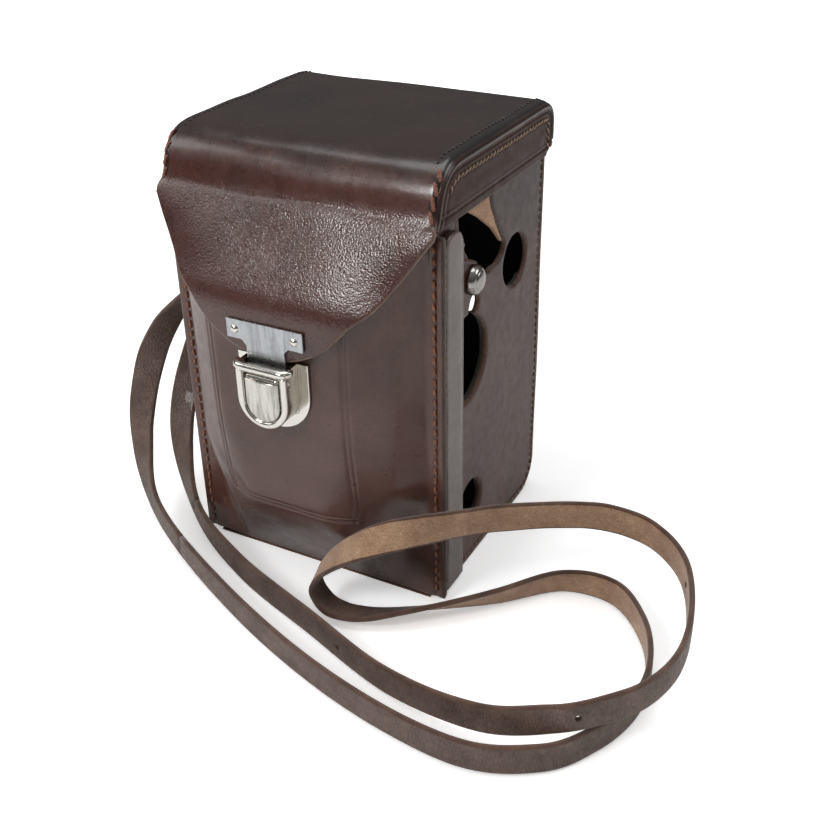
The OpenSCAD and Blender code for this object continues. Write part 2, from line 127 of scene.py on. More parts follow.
def groove(distance, width, depth):
    return -depth * np.exp(-(distance / width) ** 2)


def add_object(name, data):
    obj = bpy.data.objects.new(name, data)
    bpy.context.collection.objects.link(obj)
    return obj


def dress(mesh, materials, index=None):
    """Smooth shading and materials; index holds the number of each face's material."""
    for m in materials:
        mesh.materials.append(m)
    if index is not None:
        mesh.polygons.foreach_set("material_index", np.asarray(index, np.int32))
    mesh.polygons.foreach_set("use_smooth", np.full(len(mesh.polygons), True))
    mesh.update()


def make(name, points, faces, materials, index=None):
    """A mesh object from points in mm, with its face normals pointing out."""
    mesh = bpy.data.meshes.new(name)
    mesh.from_pydata([tuple(p) for p in np.asarray(points, float) * MM], [], [tuple(f) for f in faces])
    dress(mesh, materials, index)
    bm = bmesh.new()
    bm.from_mesh(mesh)
    bmesh.ops.recalc_face_normals(bm, faces=bm.faces)
    bm.to_mesh(mesh)
    bm.free()
    return add_object(name, mesh)


def place(obj, body, slot, *nodes):
    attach(obj, body)
    if nodes:
        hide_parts(*nodes)
    return obj


def grid_faces(rows, cols, start=0):
    first = (np.arange(rows - 1)[:, None] * cols + np.arange(cols - 1)).ravel() + start
    return np.stack([first, first + 1, first + cols + 1, first + cols], 1)


def unit(vectors):
    """Vectors along the last axis, scaled to length one."""
    return vectors / (np.linalg.norm(vectors, axis=-1, keepdims=True) + 1e-9)


def grid_normals(p, toward):
    """Unit normals of a grid of points, on the side of the vector toward."""
    n = unit(np.cross(np.gradient(p, axis=1), np.gradient(p, axis=0)))
    return n * np.sign(n.reshape(-1, 3).mean(0) @ np.asarray(toward, float))


def sheet(name, outer, thickness, toward, materials, rim=5):
    """Leather or plate of even thickness behind a grid of points, with a rounded rim of its own material."""
    rows, cols = outer.shape[:2]
    normal = grid_normals(outer, toward)
    inner = outer - normal * thickness
    count = rows * cols
    loop = [(0, j) for j in range(cols)] + [(i, cols - 1) for i in range(1, rows)]
    loop += [(rows - 1, j) for j in range(cols - 2, -1, -1)] + [(i, 0) for i in range(rows - 2, 0, -1)]
    r = np.array([q[0] for q in loop])
    c = np.array([q[1] for q in loop])
    out = outer[r, c] - outer[np.clip(r, 1, rows - 2), np.clip(c, 1, cols - 2)]
    out = unit(out - (out * normal[r, c]).sum(1, keepdims=True) * normal[r, c])
    middle = (outer[r, c] + inner[r, c]) / 2
    rings, extra = [r * cols + c], []
    for k in range(1, rim):
        a = math.pi * k / rim
        extra.append(middle + normal[r, c] * math.cos(a) * thickness / 2
                     + out * math.sin(a) * thickness * 0.32)
        rings.append(2 * count + (k - 1) * len(loop) + np.arange(len(loop)))
    rings.append(count + r * cols + c)
    faces = [grid_faces(rows, cols), grid_faces(rows, cols, count)]
    marks = [np.zeros(2 * len(faces[0]), int)]
    for a, b in zip(rings[:-1], rings[1:]):
        faces.append(np.stack([a, np.roll(a, -1), np.roll(b, -1), b], 1))
        marks.append(np.ones(len(loop), int))
    points = np.concatenate([outer.reshape(-1, 3), inner.reshape(-1, 3)] + extra)
    return make(name, points, np.concatenate(faces), materials, np.concatenate(marks))


def weld(obj):
    obj.modifiers.new("weld", "WELD").merge_threshold = 0.00001


def apply_modifiers(obj):
    """Give an object the mesh that its modifiers make."""
    depsgraph = bpy.context.evaluated_depsgraph_get()
    mesh = bpy.data.meshes.new_from_object(obj.evaluated_get(depsgraph))
    obj.modifiers.clear()
    obj.data = mesh
    return mesh


def rows_of(items, key):
    """A vector of each vertex or face of a mesh, as rows."""
    values = np.zeros(len(items) * 3)
    items.foreach_get(key, values)
    return values.reshape(-1, 3)


def soften(name, node, voxel, materials, body, slot, shape=None, rounds=3, index=None):
    """A copy of a CAD node with rounded, slightly uneven surfaces.

    shape moves its points, given them and their normals; index picks each face's material by its normal.
    """
    obj = add_object(name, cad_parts[node].data.copy())
    weld(obj)
    remesh = obj.modifiers.new("remesh", "REMESH")
    remesh.mode = "VOXEL"
    remesh.voxel_size = voxel * MM
    soft = obj.modifiers.new("soft", "SMOOTH")
    soft.factor = 0.5
    soft.iterations = rounds
    mesh = apply_modifiers(obj)
    if shape is not None:
        p = rows_of(mesh.vertices, "co") / MM
        p += shape(p, rows_of(mesh.vertices, "normal"))
        mesh.vertices.foreach_set("co", (p * MM).ravel())
    mesh.materials.clear()
    dress(mesh, materials, None if index is None else index(rows_of(mesh.polygons, "normal")))
    place(obj, body, slot, node)


def polish(node, material, width, segments):
    """A CAD node kept as it is, with eased edges and a finish."""
    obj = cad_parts[node]
    obj.data.materials.clear()
    obj.data.materials.append(material)
    weld(obj)
    bevel = obj.modifiers.new("edge", "BEVEL")
    bevel.width = width * MM
    bevel.segments = segments
    bevel.limit_method = "ANGLE"
    bevel.angle_limit = math.radians(35)
    bevel.harden_normals = True


def skin_faces(rings, sides, start=0):
    """Faces round a stack of rings of points, with a cap at each end."""
    faces = [(start + i * sides + k, start + i * sides + (k + 1) % sides,
              start + (i + 1) * sides + (k + 1) % sides, start + (i + 1) * sides + k)
             for i in range(rings - 1) for k in range(sides)]
    faces.append(tuple(range(start, start + sides)))
    faces.append(tuple(range(start + (rings - 1) * sides, start + rings * sides)))
    return faces


def tube(name, path, radius, materials, sides=14):
    """Round bar along a path, with closed ends."""
    path = np.asarray(path, float)
    radius = np.broadcast_to(np.asarray(radius, float), (len(path),))
    ahead = unit(np.gradient(path, axis=0))
    side = unit(np.cross(ahead, (0, 0, 1.0)))
    up = np.cross(side, ahead)
    a = np.arange(sides) * 2 * math.pi / sides
    ring = side[:, None] * np.cos(a)[None, :, None] + up[:, None] * np.sin(a)[None, :, None]
    points = (path[:, None] + ring * radius[:, None, None]).reshape(-1, 3)
    return make(name, points, skin_faces(len(path), sides), materials)


def lathe(name, profile, centre, axis, materials, sides=48):
    """Turned piece: profile is (radius, height along axis) pairs."""
    axis = Vector(axis).normalized()
    turn = axis.to_track_quat("Z", "X").to_matrix()
    a = np.arange(sides) * 2 * math.pi / sides
    rows = [np.stack([r * np.cos(a), r * np.sin(a), np.full(sides, h)], 1) for r, h in profile]
    points = np.concatenate(rows) @ np.array(turn).T + np.asarray(centre, float)
    return make(name, points, skin_faces(len(profile), sides), materials)


def resample(path, spacing):
    path = np.asarray(path, float)
    lengths = np.concatenate([[0], np.cumsum(np.linalg.norm(np.diff(path, axis=0), axis=1))])
    count = max(1, int(round(lengths[-1] / spacing)))
    s = (np.arange(count) + 0.5) * lengths[-1] / count
    return np.stack([np.interp(s, lengths, path[:, k]) for k in range(3)], 1)


def stitches(name, path, normal, material, spacing, length, radius, slant=0.0, lift=0.25, body="body",
             twist=1.5, ply=0.10):
    """Row of real thread stitches of two twisted strands, whose ends dive into the leather."""
    centres = resample(path, spacing)
    ahead = unit(np.gradient(centres, axis=0))
    normal = np.broadcast_to(np.asarray(normal, float), centres.shape)
    side = unit(np.cross(normal, ahead))
    steps, sides = 11, 10
    t = np.linspace(-1, 1, steps)
    fat = np.sqrt(np.maximum(1 - t ** 4, 0.02))
    a = np.arange(sides) * 2 * math.pi / sides
    points, faces = [], []
    for i, c in enumerate(centres):
        turn = slant + rng.normal(0, 0.06)
        grow = 1 + rng.normal(0, 0.05)
        d = ahead[i] * math.cos(turn) + side[i] * math.sin(turn)
        e = side[i] * math.cos(turn) - ahead[i] * math.sin(turn)
        faces += skin_faces(steps, sides, i * steps * sides)
        ring = (c + normal[i] * radius * lift + rng.normal(0, 0.05) * side[i]
                + d * (length * grow / 2) * t[:, None]
                - normal[i] * (1.5 * radius) * (t ** 4)[:, None])
        wave = 1 + ply * np.cos(2 * (a[None, :] + t[:, None] * twist))
        body_ring = (ring[:, None]
                     + e * (radius * fat[:, None] * wave * np.cos(a)[None, :])[..., None]
                     + normal[i] * (radius * fat[:, None] * wave * np.sin(a)[None, :] * 0.8)[..., None])
        points.append(body_ring.reshape(-1, 3))
    place(make(name, np.concatenate(points), faces, [material]), body, "case_leather")


# ---- materials ----

def nodes_for(name):
    material = bpy.data.materials.new(name)
    material.use_nodes = True
    tree = material.node_tree
    return material, tree, tree.nodes["Principled BSDF"]


def feed(tree, node, inputs):
    """Set a node's inputs, by name or number, from numbers, colours or other nodes' outputs."""
    for key, value in inputs.items():
        socket = node.inputs[key]
        if isinstance(value, (int, float)):
            socket.default_value = value
        elif isinstance(value, (tuple, list)):
            vector = len(socket.default_value) == len(value)
            socket.default_value = value if vector else (*value, 1)
        else:
            tree.links.new(value, socket)
    return node


def new(tree, kind, inputs, **settings):
    """A shader node of a kind, with its settings and inputs."""
    node = tree.nodes.new("ShaderNode" + kind)
    for key, value in settings.items():
        setattr(node, key, value)
    return feed(tree, node, inputs)


def millimetres(tree, stretch=(1, 1, 1)):
    """Object coordinates in millimetres, stretched along each axis."""
    coordinates = new(tree, "TexCoord", {}).outputs["Object"]
    return new(tree, "Mapping", {"Scale": [s / MM for s in stretch], "Vector": coordinates}).outputs["Vector"]


def noise(tree, vector, scale, detail=4.0, roughness=0.55, distortion=0.0):
    return new(tree, "TexNoise", {"Scale": scale, "Detail": detail, "Roughness": roughness,
                                  "Distortion": distortion, "Vector": vector}).outputs["Fac"]


def ramp(tree, value, stops):
    node = new(tree, "ValToRGB", {"Fac": value})
    elements = node.color_ramp.elements
    while len(elements) < len(stops):
        elements.new(0.5)
    for element, (at, colour) in zip(elements, stops):
        element.position = at
        element.color = (*colour, 1)
    return node.outputs["Color"]


def grey(v):
    return (v, v, v)


def grey_ramp(tree, value, low, a, high, b):
    """Grey a up to low and grey b from high on."""
    return ramp(tree, value, [(low, grey(a)), (high, grey(b))])


def mix(tree, factor, a, b, blend="MIX"):
    """Colours a and b mixed; sockets 0, 6 and 7 are the colour mix's factor and its two colours."""
    return new(tree, "Mix", {0: factor, 6: a, 7: b}, data_type="RGBA", blend_type=blend).outputs[2]


def math_node(tree, operation, a, b):
    return new(tree, "Math", {0: a, 1: b}, operation=operation).outputs[0]


def times(tree, a, b):
    return math_node(tree, "MULTIPLY", a, b)


def vector_math(tree, operation, inputs):
    return new(tree, "VectorMath", inputs, operation=operation).outputs


def bump(tree, height, distance, strength=1.0, normal=None):
    inputs = {"Strength": strength, "Distance": distance * MM, "Height": height}
    if normal is not None:
        inputs["Normal"] = normal
    return new(tree, "Bump", inputs).outputs["Normal"]


def between(tree, value, low, high):
    """0 below low, 1 above high, smooth in between."""
    return new(tree, "MapRange", {"Value": value, "From Min": low, "From Max": high},
               interpolation_type="SMOOTHSTEP").outputs["Result"]


def shaded(tree, where, colour, painted_shades):
    """Painted shade: the colour multiplied by a darker tint beyond a place along an axis; each entry holds
    (axis, low, high, tint).
    """
    split = new(tree, "SeparateXYZ", {0: where}).outputs
    uneven = noise(tree, where, 0.09, 4)
    for axis, low, high, tint in painted_shades:
        along = split[axis]
        if axis == "X":
            along = math_node(tree, "ABSOLUTE", along, 0)
        reach = (high - low) * 1.2
        along = math_node(tree, "ADD", along, times(tree, uneven, reach))
        mask = between(tree, along, low + reach / 2, high + reach / 2)
        if axis == "X":
            mask = times(tree, mask, between(tree, split["Z"], LID_Z + 3, LID_Z + 7))
        colour = mix(tree, mask, colour, mix(tree, 1.0, colour, tint, "MULTIPLY"))
    return colour


def worn_spot(tree, where, colour, spot, reach):
    """The colour rubbed pale and ragged round a spot."""
    distance = vector_math(tree, "DISTANCE", {1: spot, 0: where})["Value"]
    ragged = times(tree, noise(tree, where, 0.5, 8, 0.7), reach * 1.3)
    near = math_node(tree, "DIVIDE", math_node(tree, "ADD", distance, ragged), reach * 2)
    shape = grey_ramp(tree, near, 0.45, 1, 0.75, 0)
    return mix(tree, times(tree, shape, 0.75), colour, (0.36, 0.20, 0.12))


def pebbled(tree, where, normal, depth, size):
    """Pebble grain pressed into the leather below the lid's fold."""
    shift = new(tree, "TexNoise", {"Scale": 0.5, "Vector": where}).outputs["Color"]
    wobble = vector_math(tree, "ADD", {0: where, 1: shift})[0]
    cells = new(tree, "TexVoronoi", {"Vector": wobble, "Scale": 1 / size, "Smoothness": 0.5},
                feature="SMOOTH_F1")
    height = new(tree, "SeparateXYZ", {0: where}).outputs["Z"]
    low_part = between(tree, height, LID_Z + 10, LID_Z)
    grain = times(tree, cells.outputs["Distance"], low_part)
    return bump(tree, grain, -depth, 0.8, normal)


def leather(name, dark, mid, light, rough=(0.30, 0.5), coat=0.35, pebble=0.0, pebble_size=1.1,
            scuffs=0.35, worn_at=(), wear=0.5, painted_shades=(), gloss=0.5):
    """Polished leather: blotchy dye, pores, fine scratches, scuffs and worn edges, with painted shade along
    an axis where entries are given.
    """
    material, tree, shader = nodes_for(name)
    where = millimetres(tree)
    scuff = (0.30, 0.15, 0.09)
    dye = noise(tree, where, 0.035, 5, 0.6, 0.4)
    colour = ramp(tree, dye, [(0.3, dark), (0.52, mid), (0.75, light)])
    # painted shade: darken the colour along an axis for each entry given
    colour = shaded(tree, where, colour, painted_shades)
    fine = noise(tree, where, 0.9, 4)
    colour = mix(tree, 0.5, colour, grey_ramp(tree, fine, 0.3, 0.62, 0.7, 1.25), "MULTIPLY")
    scratch_a = noise(tree, millimetres(tree, (0.03, 0.5, 1.6)), 1.0, 3, 0.6, 0.2)
    scratch_b = noise(tree, millimetres(tree, (1.3, 0.5, 0.05)), 1.0, 3, 0.6, 0.2)
    lines = math_node(tree, "MAXIMUM", scratch_a, scratch_b)
    scratched = grey_ramp(tree, lines, 0.66, 0, 0.72, 1)
    patches = grey_ramp(tree, noise(tree, where, 0.06, 3), 0.5, 0, 0.68, 1)
    scratched = mix(tree, 1.0, scratched, patches, "MULTIPLY")
    rubbed = grey_ramp(tree, noise(tree, where, 0.16, 9, 0.72, 1.0), 0.62, 0, 0.74, 1)
    marks = math_node(tree, "MAXIMUM", times(tree, scratched, 0.7), rubbed)
    colour = mix(tree, times(tree, marks, scuffs), colour, scuff)
    pointed = new(tree, "NewGeometry", {}).outputs["Pointiness"]
    edges = grey_ramp(tree, pointed, 0.53, 0, 0.60, 1)
    colour = mix(tree, times(tree, edges, wear), colour, scuff)
    for spot, reach in worn_at:
        colour = worn_spot(tree, where, colour, spot, reach)
    sheen = grey_ramp(tree, noise(tree, where, 0.25, 5), 0.3, rough[0], 0.7, rough[1])
    sheen = mix(tree, times(tree, marks, 0.5), sheen, grey(0.7))
    pores = noise(tree, where, 2.4, 6, 0.7)
    normal = bump(tree, pores, 0.035, 0.45)
    normal = bump(tree, noise(tree, where, 0.12, 3), 0.2, 0.4, normal)
    if pebble > 0:
        normal = pebbled(tree, where, normal, pebble, pebble_size)
        feed(tree, shader, {"Coat Normal": normal})
    normal = bump(tree, marks, -0.03, 0.6, normal)
    feed(tree, shader, {"Base Color": colour, "Roughness": sheen, "Normal": normal, "Coat Weight": coat,
                        "Coat Roughness": 0.16, "Specular IOR Level": gloss})
    return material


def suede(name, dark, light, fibre=1.0):
    """Fuzzy flesh side of leather."""
    material, tree, shader = nodes_for(name)
    where = millimetres(tree)
    colour = ramp(tree, noise(tree, where, 0.12, 5, 0.6), [(0.3, dark), (0.7, light)])
    fuzz = noise(tree, where, 2.2 * fibre, 6, 0.75)
    fleck = grey_ramp(tree, fuzz, 0.30, 0.4, 0.66, 1.55)
    colour = mix(tree, 0.85, colour, fleck, "MULTIPLY")
    streak = noise(tree, millimetres(tree, (0.8, 0.8, 2.2)), 0.8, 5, 0.7)
    colour = mix(tree, 0.5, colour, grey_ramp(tree, streak, 0.35, 0.6, 0.65, 1.35), "MULTIPLY")
    feed(tree, shader, {"Base Color": colour, "Roughness": 0.95, "Specular IOR Level": 0.2,
                        "Sheen Weight": 0.35, "Sheen Roughness": 0.6, "Normal": bump(tree, fuzz, 0.18, 0.8)})
    return material


def wrinkled(name, dark, light):
    """Grain side of the strap: greyish brown, crossed by fine wrinkles."""
    material, tree, shader = nodes_for(name)
    where = millimetres(tree)
    colour = ramp(tree, noise(tree, where, 0.08, 5, 0.65), [(0.3, dark), (0.7, light)])
    cracks = new(tree, "TexVoronoi", {"Vector": millimetres(tree, (1.2, 1.2, 0.45)), "Scale": 0.85},
                 feature="DISTANCE_TO_EDGE")
    lines = ramp(tree, cracks.outputs["Distance"], [(0.0, grey(0)), (0.12, grey(1))])
    colour = mix(tree, 0.55, colour, mix(tree, lines, (0.35, 0.3, 0.28), (1.1, 1.1, 1.1)), "MULTIPLY")
    rough = grey_ramp(tree, noise(tree, where, 0.6, 5), 0.3, 0.42, 0.7, 0.68)
    normal = bump(tree, lines, 0.16, 0.8)
    normal = bump(tree, noise(tree, where, 2.0, 5, 0.7), 0.10, 0.7, normal)
    feed(tree, shader, {"Base Color": colour, "Roughness": rough, "Coat Weight": 0.12, "Normal": normal})
    return material


def metal(name, colour, rough, scratch=(0.6, 0.6, 0.6), tarnish=0.25, brushed=0.0):
    """Plated metal with fine scratches, dull patches, a little tarnish and upright brushed streaks."""
    material, tree, shader = nodes_for(name)
    where = millimetres(tree)
    patch = noise(tree, where, 0.35, 5, 0.65)
    tint = mix(tree, times(tree, patch, tarnish), colour, (0.42, 0.36, 0.27))
    if brushed > 0:
        streaks = noise(tree, millimetres(tree, (0.55, 0.2, 0.05)), 1.0, 6, 0.7, 0.3)
        shade = ramp(tree, streaks, [(0.38, (0.30, 0.31, 0.33)), (0.56, grey(1))])
        tint = mix(tree, brushed, tint, mix(tree, 1.0, tint, shade, "MULTIPLY"))
    fine = noise(tree, millimetres(tree, scratch), 6.0, 4, 0.7)
    level = grey_ramp(tree, fine, 0.35, rough * 0.6, 0.7, rough * 2.0)
    dull = grey_ramp(tree, patch, 0.45, 0, 0.75, 1)
    level = mix(tree, times(tree, dull, 0.35), level, grey(min(1, rough * 3)))
    normal = bump(tree, fine, 0.006, 0.5)
    normal = bump(tree, noise(tree, where, 0.5, 3), 0.05, 0.3, normal)
    feed(tree, shader, {"Metallic": 1.0, "Base Color": tint, "Roughness": level, "Normal": normal})
    return material


def thread(name, colour, dark):
    material, tree, shader = nodes_for(name)
    where = millimetres(tree)
    base = ramp(tree, noise(tree, where, 1.6, 5, 0.7), [(0.3, dark), (0.68, colour)])
    fibres = new(tree, "TexWave", {"Scale": 1.6, "Distortion": 2.0, "Vector": where}).outputs["Fac"]
    feed(tree, shader, {"Base Color": base, "Roughness": 0.75, "Normal": bump(tree, fibres, 0.12, 0.7)})
    return material


def felt(name, dark, light):
    material, tree, shader = nodes_for(name)
    fuzz = noise(tree, millimetres(tree), 1.8, 8, 0.8)
    feed(tree, shader, {"Base Color": ramp(tree, fuzz, [(0.3, dark), (0.7, light)]), "Roughness": 1.0,
                        "Sheen Weight": 0.4, "Normal": bump(tree, fuzz, 0.25, 0.9)})
    return material


KNUCKLE = ((-41.0, FLANGE_Y - 5, 15.0), 7.0)
COVER_LEATHER = leather("cover_leather", (0.050, 0.018, 0.012), (0.085, 0.034, 0.024),
                        (0.115, 0.052, 0.038), rough=(0.26, 0.42), coat=0.35, worn_at=[KNUCKLE], scuffs=0.25)
# painted reflection: the sides are tinted darker above about z 90 to 140, so their lower part reads lighter
# as if it caught the white floor
SIDE_LEATHER = leather("side_leather", (0.050, 0.020, 0.013), (0.080, 0.034, 0.024),
                       (0.110, 0.052, 0.038), rough=(0.36, 0.52), coat=0.12, scuffs=0.3, gloss=0.4,
                       painted_shades=(("Z", 90, 140, (0.55, 0.45, 0.42)),))
# painted shade: one leather throughout, but the top is tinted darker and greyer than the flap, and the rolled
# side edges above the fold darker still
LID_LEATHER = leather("lid_leather", (0.036, 0.011, 0.008), (0.062, 0.020, 0.014),
                      (0.085, 0.030, 0.021), rough=(0.22, 0.34), coat=0.5, pebble=0.10,
                      pebble_size=0.6, scuffs=0.3,
                      painted_shades=(("Z", TOP_Z - 9, TOP_Z - 1, (0.34, 0.42, 0.48)),
                              ("X", LID_X - 3.6, LID_X - 2.9, (0.22, 0.25, 0.28))))
WALL_LEATHER = leather("lid_wall_leather", (0.030, 0.010, 0.007), (0.050, 0.019, 0.014),
                       (0.070, 0.030, 0.022), rough=(0.34, 0.5), coat=0.06, scuffs=0.25, gloss=0.14)
STRIP_LEATHER = leather("strip_leather", (0.060, 0.035, 0.027), (0.10, 0.062, 0.050),
                        (0.14, 0.10, 0.085), rough=(0.26, 0.40), coat=0.4, scuffs=0.3)
RIDGE = leather("burnished_edge", (0.012, 0.006, 0.005), (0.020, 0.010, 0.008), (0.04, 0.022, 0.016),
                rough=(0.2, 0.32), coat=0.25, scuffs=0.2, wear=0.3, gloss=0.3)
CUT_EDGE = suede("cut_edge", (0.075, 0.032, 0.018), (0.19, 0.095, 0.055), 1.3)
# painted shade: the cover's cut edge is made darker than the other cut edges, standing in for the shade it
# sits in beside the side strips
COVER_EDGE_SHADE = suede("cover_cut_edge_painted_shade", (0.030, 0.014, 0.010), (0.085, 0.042, 0.028), 1.3)
TAN_SUEDE = suede("tan_suede", (0.30, 0.15, 0.075), (0.52, 0.30, 0.165))
INNER_SUEDE = suede("inner_suede", (0.10, 0.05, 0.03), (0.18, 0.10, 0.06))
STRAP_FLESH = suede("strap_flesh", (0.25, 0.135, 0.075), (0.42, 0.26, 0.155))
STRAP_GRAIN = wrinkled("strap_grain", (0.070, 0.040, 0.030), (0.175, 0.112, 0.086))
STRAP_DARK = wrinkled("strap_polished", (0.035, 0.014, 0.009), (0.085, 0.040, 0.027))
STRAP_EDGE = suede("strap_edge", (0.05, 0.020, 0.012), (0.12, 0.06, 0.036), 1.5)
NICKEL = metal("nickel", (0.80, 0.78, 0.73), 0.10)
# painted reflection: the lock housing's nickel has a dark base colour, standing in for the dark leather it
# reflects
SHADED = metal("housing_nickel_painted_dark", (0.40, 0.37, 0.33), 0.14, tarnish=0.5, brushed=0.35)
# painted reflection: the studs' nickel has a dark base colour, standing in for the dark surroundings it
# reflects
STUD_NICKEL_DARKENED = metal("stud_nickel_painted_dark", (0.36, 0.35, 0.34), 0.16, tarnish=0.3)
BRUSHED = metal("brushed_nickel", (0.72, 0.70, 0.65), 0.12, scratch=(0.8, 0.8, 0.1), brushed=0.75)
SATIN = metal("satin_nickel", (0.50, 0.53, 0.57), 0.22, scratch=(0.12, 1, 1.6), tarnish=0.35, brushed=0.4)
STEEL = metal("spring_steel", (0.42, 0.42, 0.41), 0.3)
THREAD = thread("thread_orange", (0.40, 0.185, 0.10), (0.14, 0.055, 0.03))
THREAD_TAN = thread("thread_tan", (0.33, 0.21, 0.13), (0.11, 0.06, 0.035))
THREAD_PALE = thread("thread_pale", (0.60, 0.42, 0.28), (0.22, 0.13, 0.08))
THREAD_PINK = thread("thread_thick", (0.36, 0.15, 0.095), (0.12, 0.042, 0.027))
# painted shade: near-black felt for beads in the lid's stitch holes, standing in for the shade inside them
HOLE_SHADE = felt("stitch_hole_painted_shade", (0.004, 0.003, 0.003), (0.012, 0.008, 0.007))
FELT = felt("lining_felt", (0.010, 0.013, 0.011), (0.035, 0.042, 0.036))
BOARD = suede("fibreboard", (0.05, 0.035, 0.024), (0.12, 0.085, 0.06), 0.6)


# ---- lid: top, flap and back in one leather ----

def arc(centre, r, a0, a1, n=14):
    a = np.radians(np.linspace(a0, a1, n))
    return [(centre[0] + r * math.cos(t), centre[1] + r * math.sin(t)) for t in a]


def bell(reach, width):
    """Weights that smooth a row of values over reach neighbours on each side."""
    kernel = np.exp(-(np.arange(-reach, reach + 1) / width) ** 2)
    return kernel / kernel.sum()


def lid_profile():
    """Outer profile (y, z) from the flap's tip over the top to the hinge, in fine even steps."""
    points = [(FLAP_Y, TIP_Z), (FLAP_Y, 111), (FLAP_Y + 0.6, 114), (FLAP_Y + 2.2, 117.4)]
    points += [(LID_FRONT_Y - 2.6, LID_Z + 1.5), (LID_FRONT_Y - 0.7, TOP_Z - LID_FRONT_R - 1)]
    points += arc((LID_FRONT_Y + LID_FRONT_R, TOP_Z - LID_FRONT_R), LID_FRONT_R, 180, 90)
    points += arc((BACK_Y - LID_BACK_R, TOP_Z - LID_BACK_R), LID_BACK_R, 90, 0)
    points += [(BACK_Y, LID_HIGH[2] - 17.8)]
    points = np.array(points)
    length = np.concatenate([[0], np.cumsum(np.linalg.norm(np.diff(points, axis=0), axis=1))])
    s = np.arange(0, length[-1], 0.5)
    fine = np.stack([np.interp(s, length, points[:, k]) for k in (0, 1)], 1)
    reach = 14
    kernel = bell(reach, 6.5)
    padded = np.concatenate([2 * fine[:1] - fine[reach:0:-1], fine, 2 * fine[-1:] - fine[-2:-reach - 2:-1]])
    soft = np.stack([np.convolve(padded[:, k], kernel, "valid") for k in (0, 1)], 1)
    return s, soft


PROFILE_S, PROFILE = lid_profile()


def flap_edge_z(x):
    """Height of the flap's lower edge at x, a bell that runs up to the lid's lower front corners."""
    wide = np.linspace(-60, 60, 481)
    half = np.abs(wide)
    centre_z = TIP_Z + TIP_R
    join = TIP_R * math.sin(math.radians(TIP_HALF_ANGLE))
    round_z = centre_z - np.sqrt(TIP_R ** 2 - np.minimum(half, join) ** 2)
    corner_z = LID_Z + 1.5
    outer = np.interp(half, [join, *FLAP_EDGE_X, LID_X], [round_z.max(), *FLAP_EDGE_Z, corner_z])
    z = np.where(half < join, round_z, outer)
    z = np.convolve(np.pad(z, 24, "edge"), bell(24, 10), "valid")
    return np.interp(x, wide, z)


def lid_surface(s, x, roll):
    """Points of the lid's outer surface at arc length s and width x; roll turns the side edges down."""
    y = np.interp(s, PROFILE_S, PROFILE[:, 0])
    z = np.interp(s, PROFILE_S, PROFILE[:, 1])
    slope = unit(np.gradient(PROFILE, axis=0))
    ty = np.interp(s, PROFILE_S, slope[:, 0])
    tz = np.interp(s, PROFILE_S, slope[:, 1])
    ny, nz = -tz, ty
    on_flap = (y < 0) & (z < LID_Z + 6)
    crown = 1.9 * (np.abs(x) / 33) ** 3 * (1 - smoothstep(117, 141, z)) * on_flap
    top = np.where(y > LID_FRONT_Y + 3, 1.0, smoothstep(LID_Z + 1, LID_Z + 7, z))
    drop = roll * top
    fold_z = np.where(y < 0, z - (LID_Z + 3.2), 99)
    fold = groove(fold_z - 0.5 * np.sin(x * 0.11), 0.5, 0.16) - groove(fold_z + 1.6, 1.2, 0.08)
    p = np.stack([x, y + crown, z], -1)
    uneven = ripple(p, 34, 5) * 0.28 + ripple(p, 11, 6) * 0.06
    sag = -0.5 * np.exp(-((y - 5) / 26) ** 2) * np.exp(-(x / 34) ** 2) * (z > TOP_Z - 6)
    out = uneven - drop + fold + sag
    p[..., 1] += ny * out
    p[..., 2] += nz * out
    return p


def lid_panel():
    edge_r = 3.0
    flat_x = LID_X - edge_r
    phi = np.radians(np.linspace(10, 84, 9))
    rounded = flat_x + edge_r * np.sin(phi)
    fall = edge_r * (1 - np.cos(phi))
    flat = np.linspace(-flat_x, flat_x, 98)
    x = np.concatenate([-rounded[::-1], flat, rounded])
    roll = np.concatenate([fall[::-1], flat * 0, fall])
    rising = PROFILE[:, 1] < LID_Z + 8
    front = rising & (PROFILE[:, 0] < 0)
    start = np.interp(flap_edge_z(x), PROFILE[front][:, 1], PROFILE_S[front])
    f = np.linspace(0, 1, 230)[:, None]
    s = start[None, :] + (PROFILE_S[-1] - start)[None, :] * f
    points = lid_surface(s, np.broadcast_to(x, s.shape), np.broadcast_to(roll, s.shape))
    obj = sheet("lid_leather_panel", points, LEATHER, (0, -0.3, 1), [LID_LEATHER, CUT_EDGE])
    place(obj, "lid", "lid_leather", "lid_panel")


def beside_profile(path, x, inset):
    """Points (x, y, z) that run beside a stretch of the lid's profile, inset towards the inside."""
    along = unit(np.gradient(path, axis=0))
    return np.stack([np.full(len(path), x), path[:, 0] + along[:, 1] * inset,
                     path[:, 1] - along[:, 0] * inset], 1)


def side_ridges():
    """Burnished seam ridge where the top leather turns into each side wall."""
    keep = (PROFILE[:, 1] > LID_Z + 2) | (PROFILE[:, 0] > 0)
    for sign, name in SIDES:
        path = beside_profile(PROFILE[keep][::3], sign * (LID_X - 0.9), 2.3)
        place(tube("lid_ridge_" + name, path, 1.25, [RIDGE]), "lid", "lid_leather")


def distance_to_profile(p):
    """Distance of each point's (y, z) from the lid's profile."""
    d = np.full(len(p), 1e9)
    for y, z in PROFILE[::4]:
        d = np.minimum(d, np.hypot(p[:, 1] - y, p[:, 2] - z))
    return d


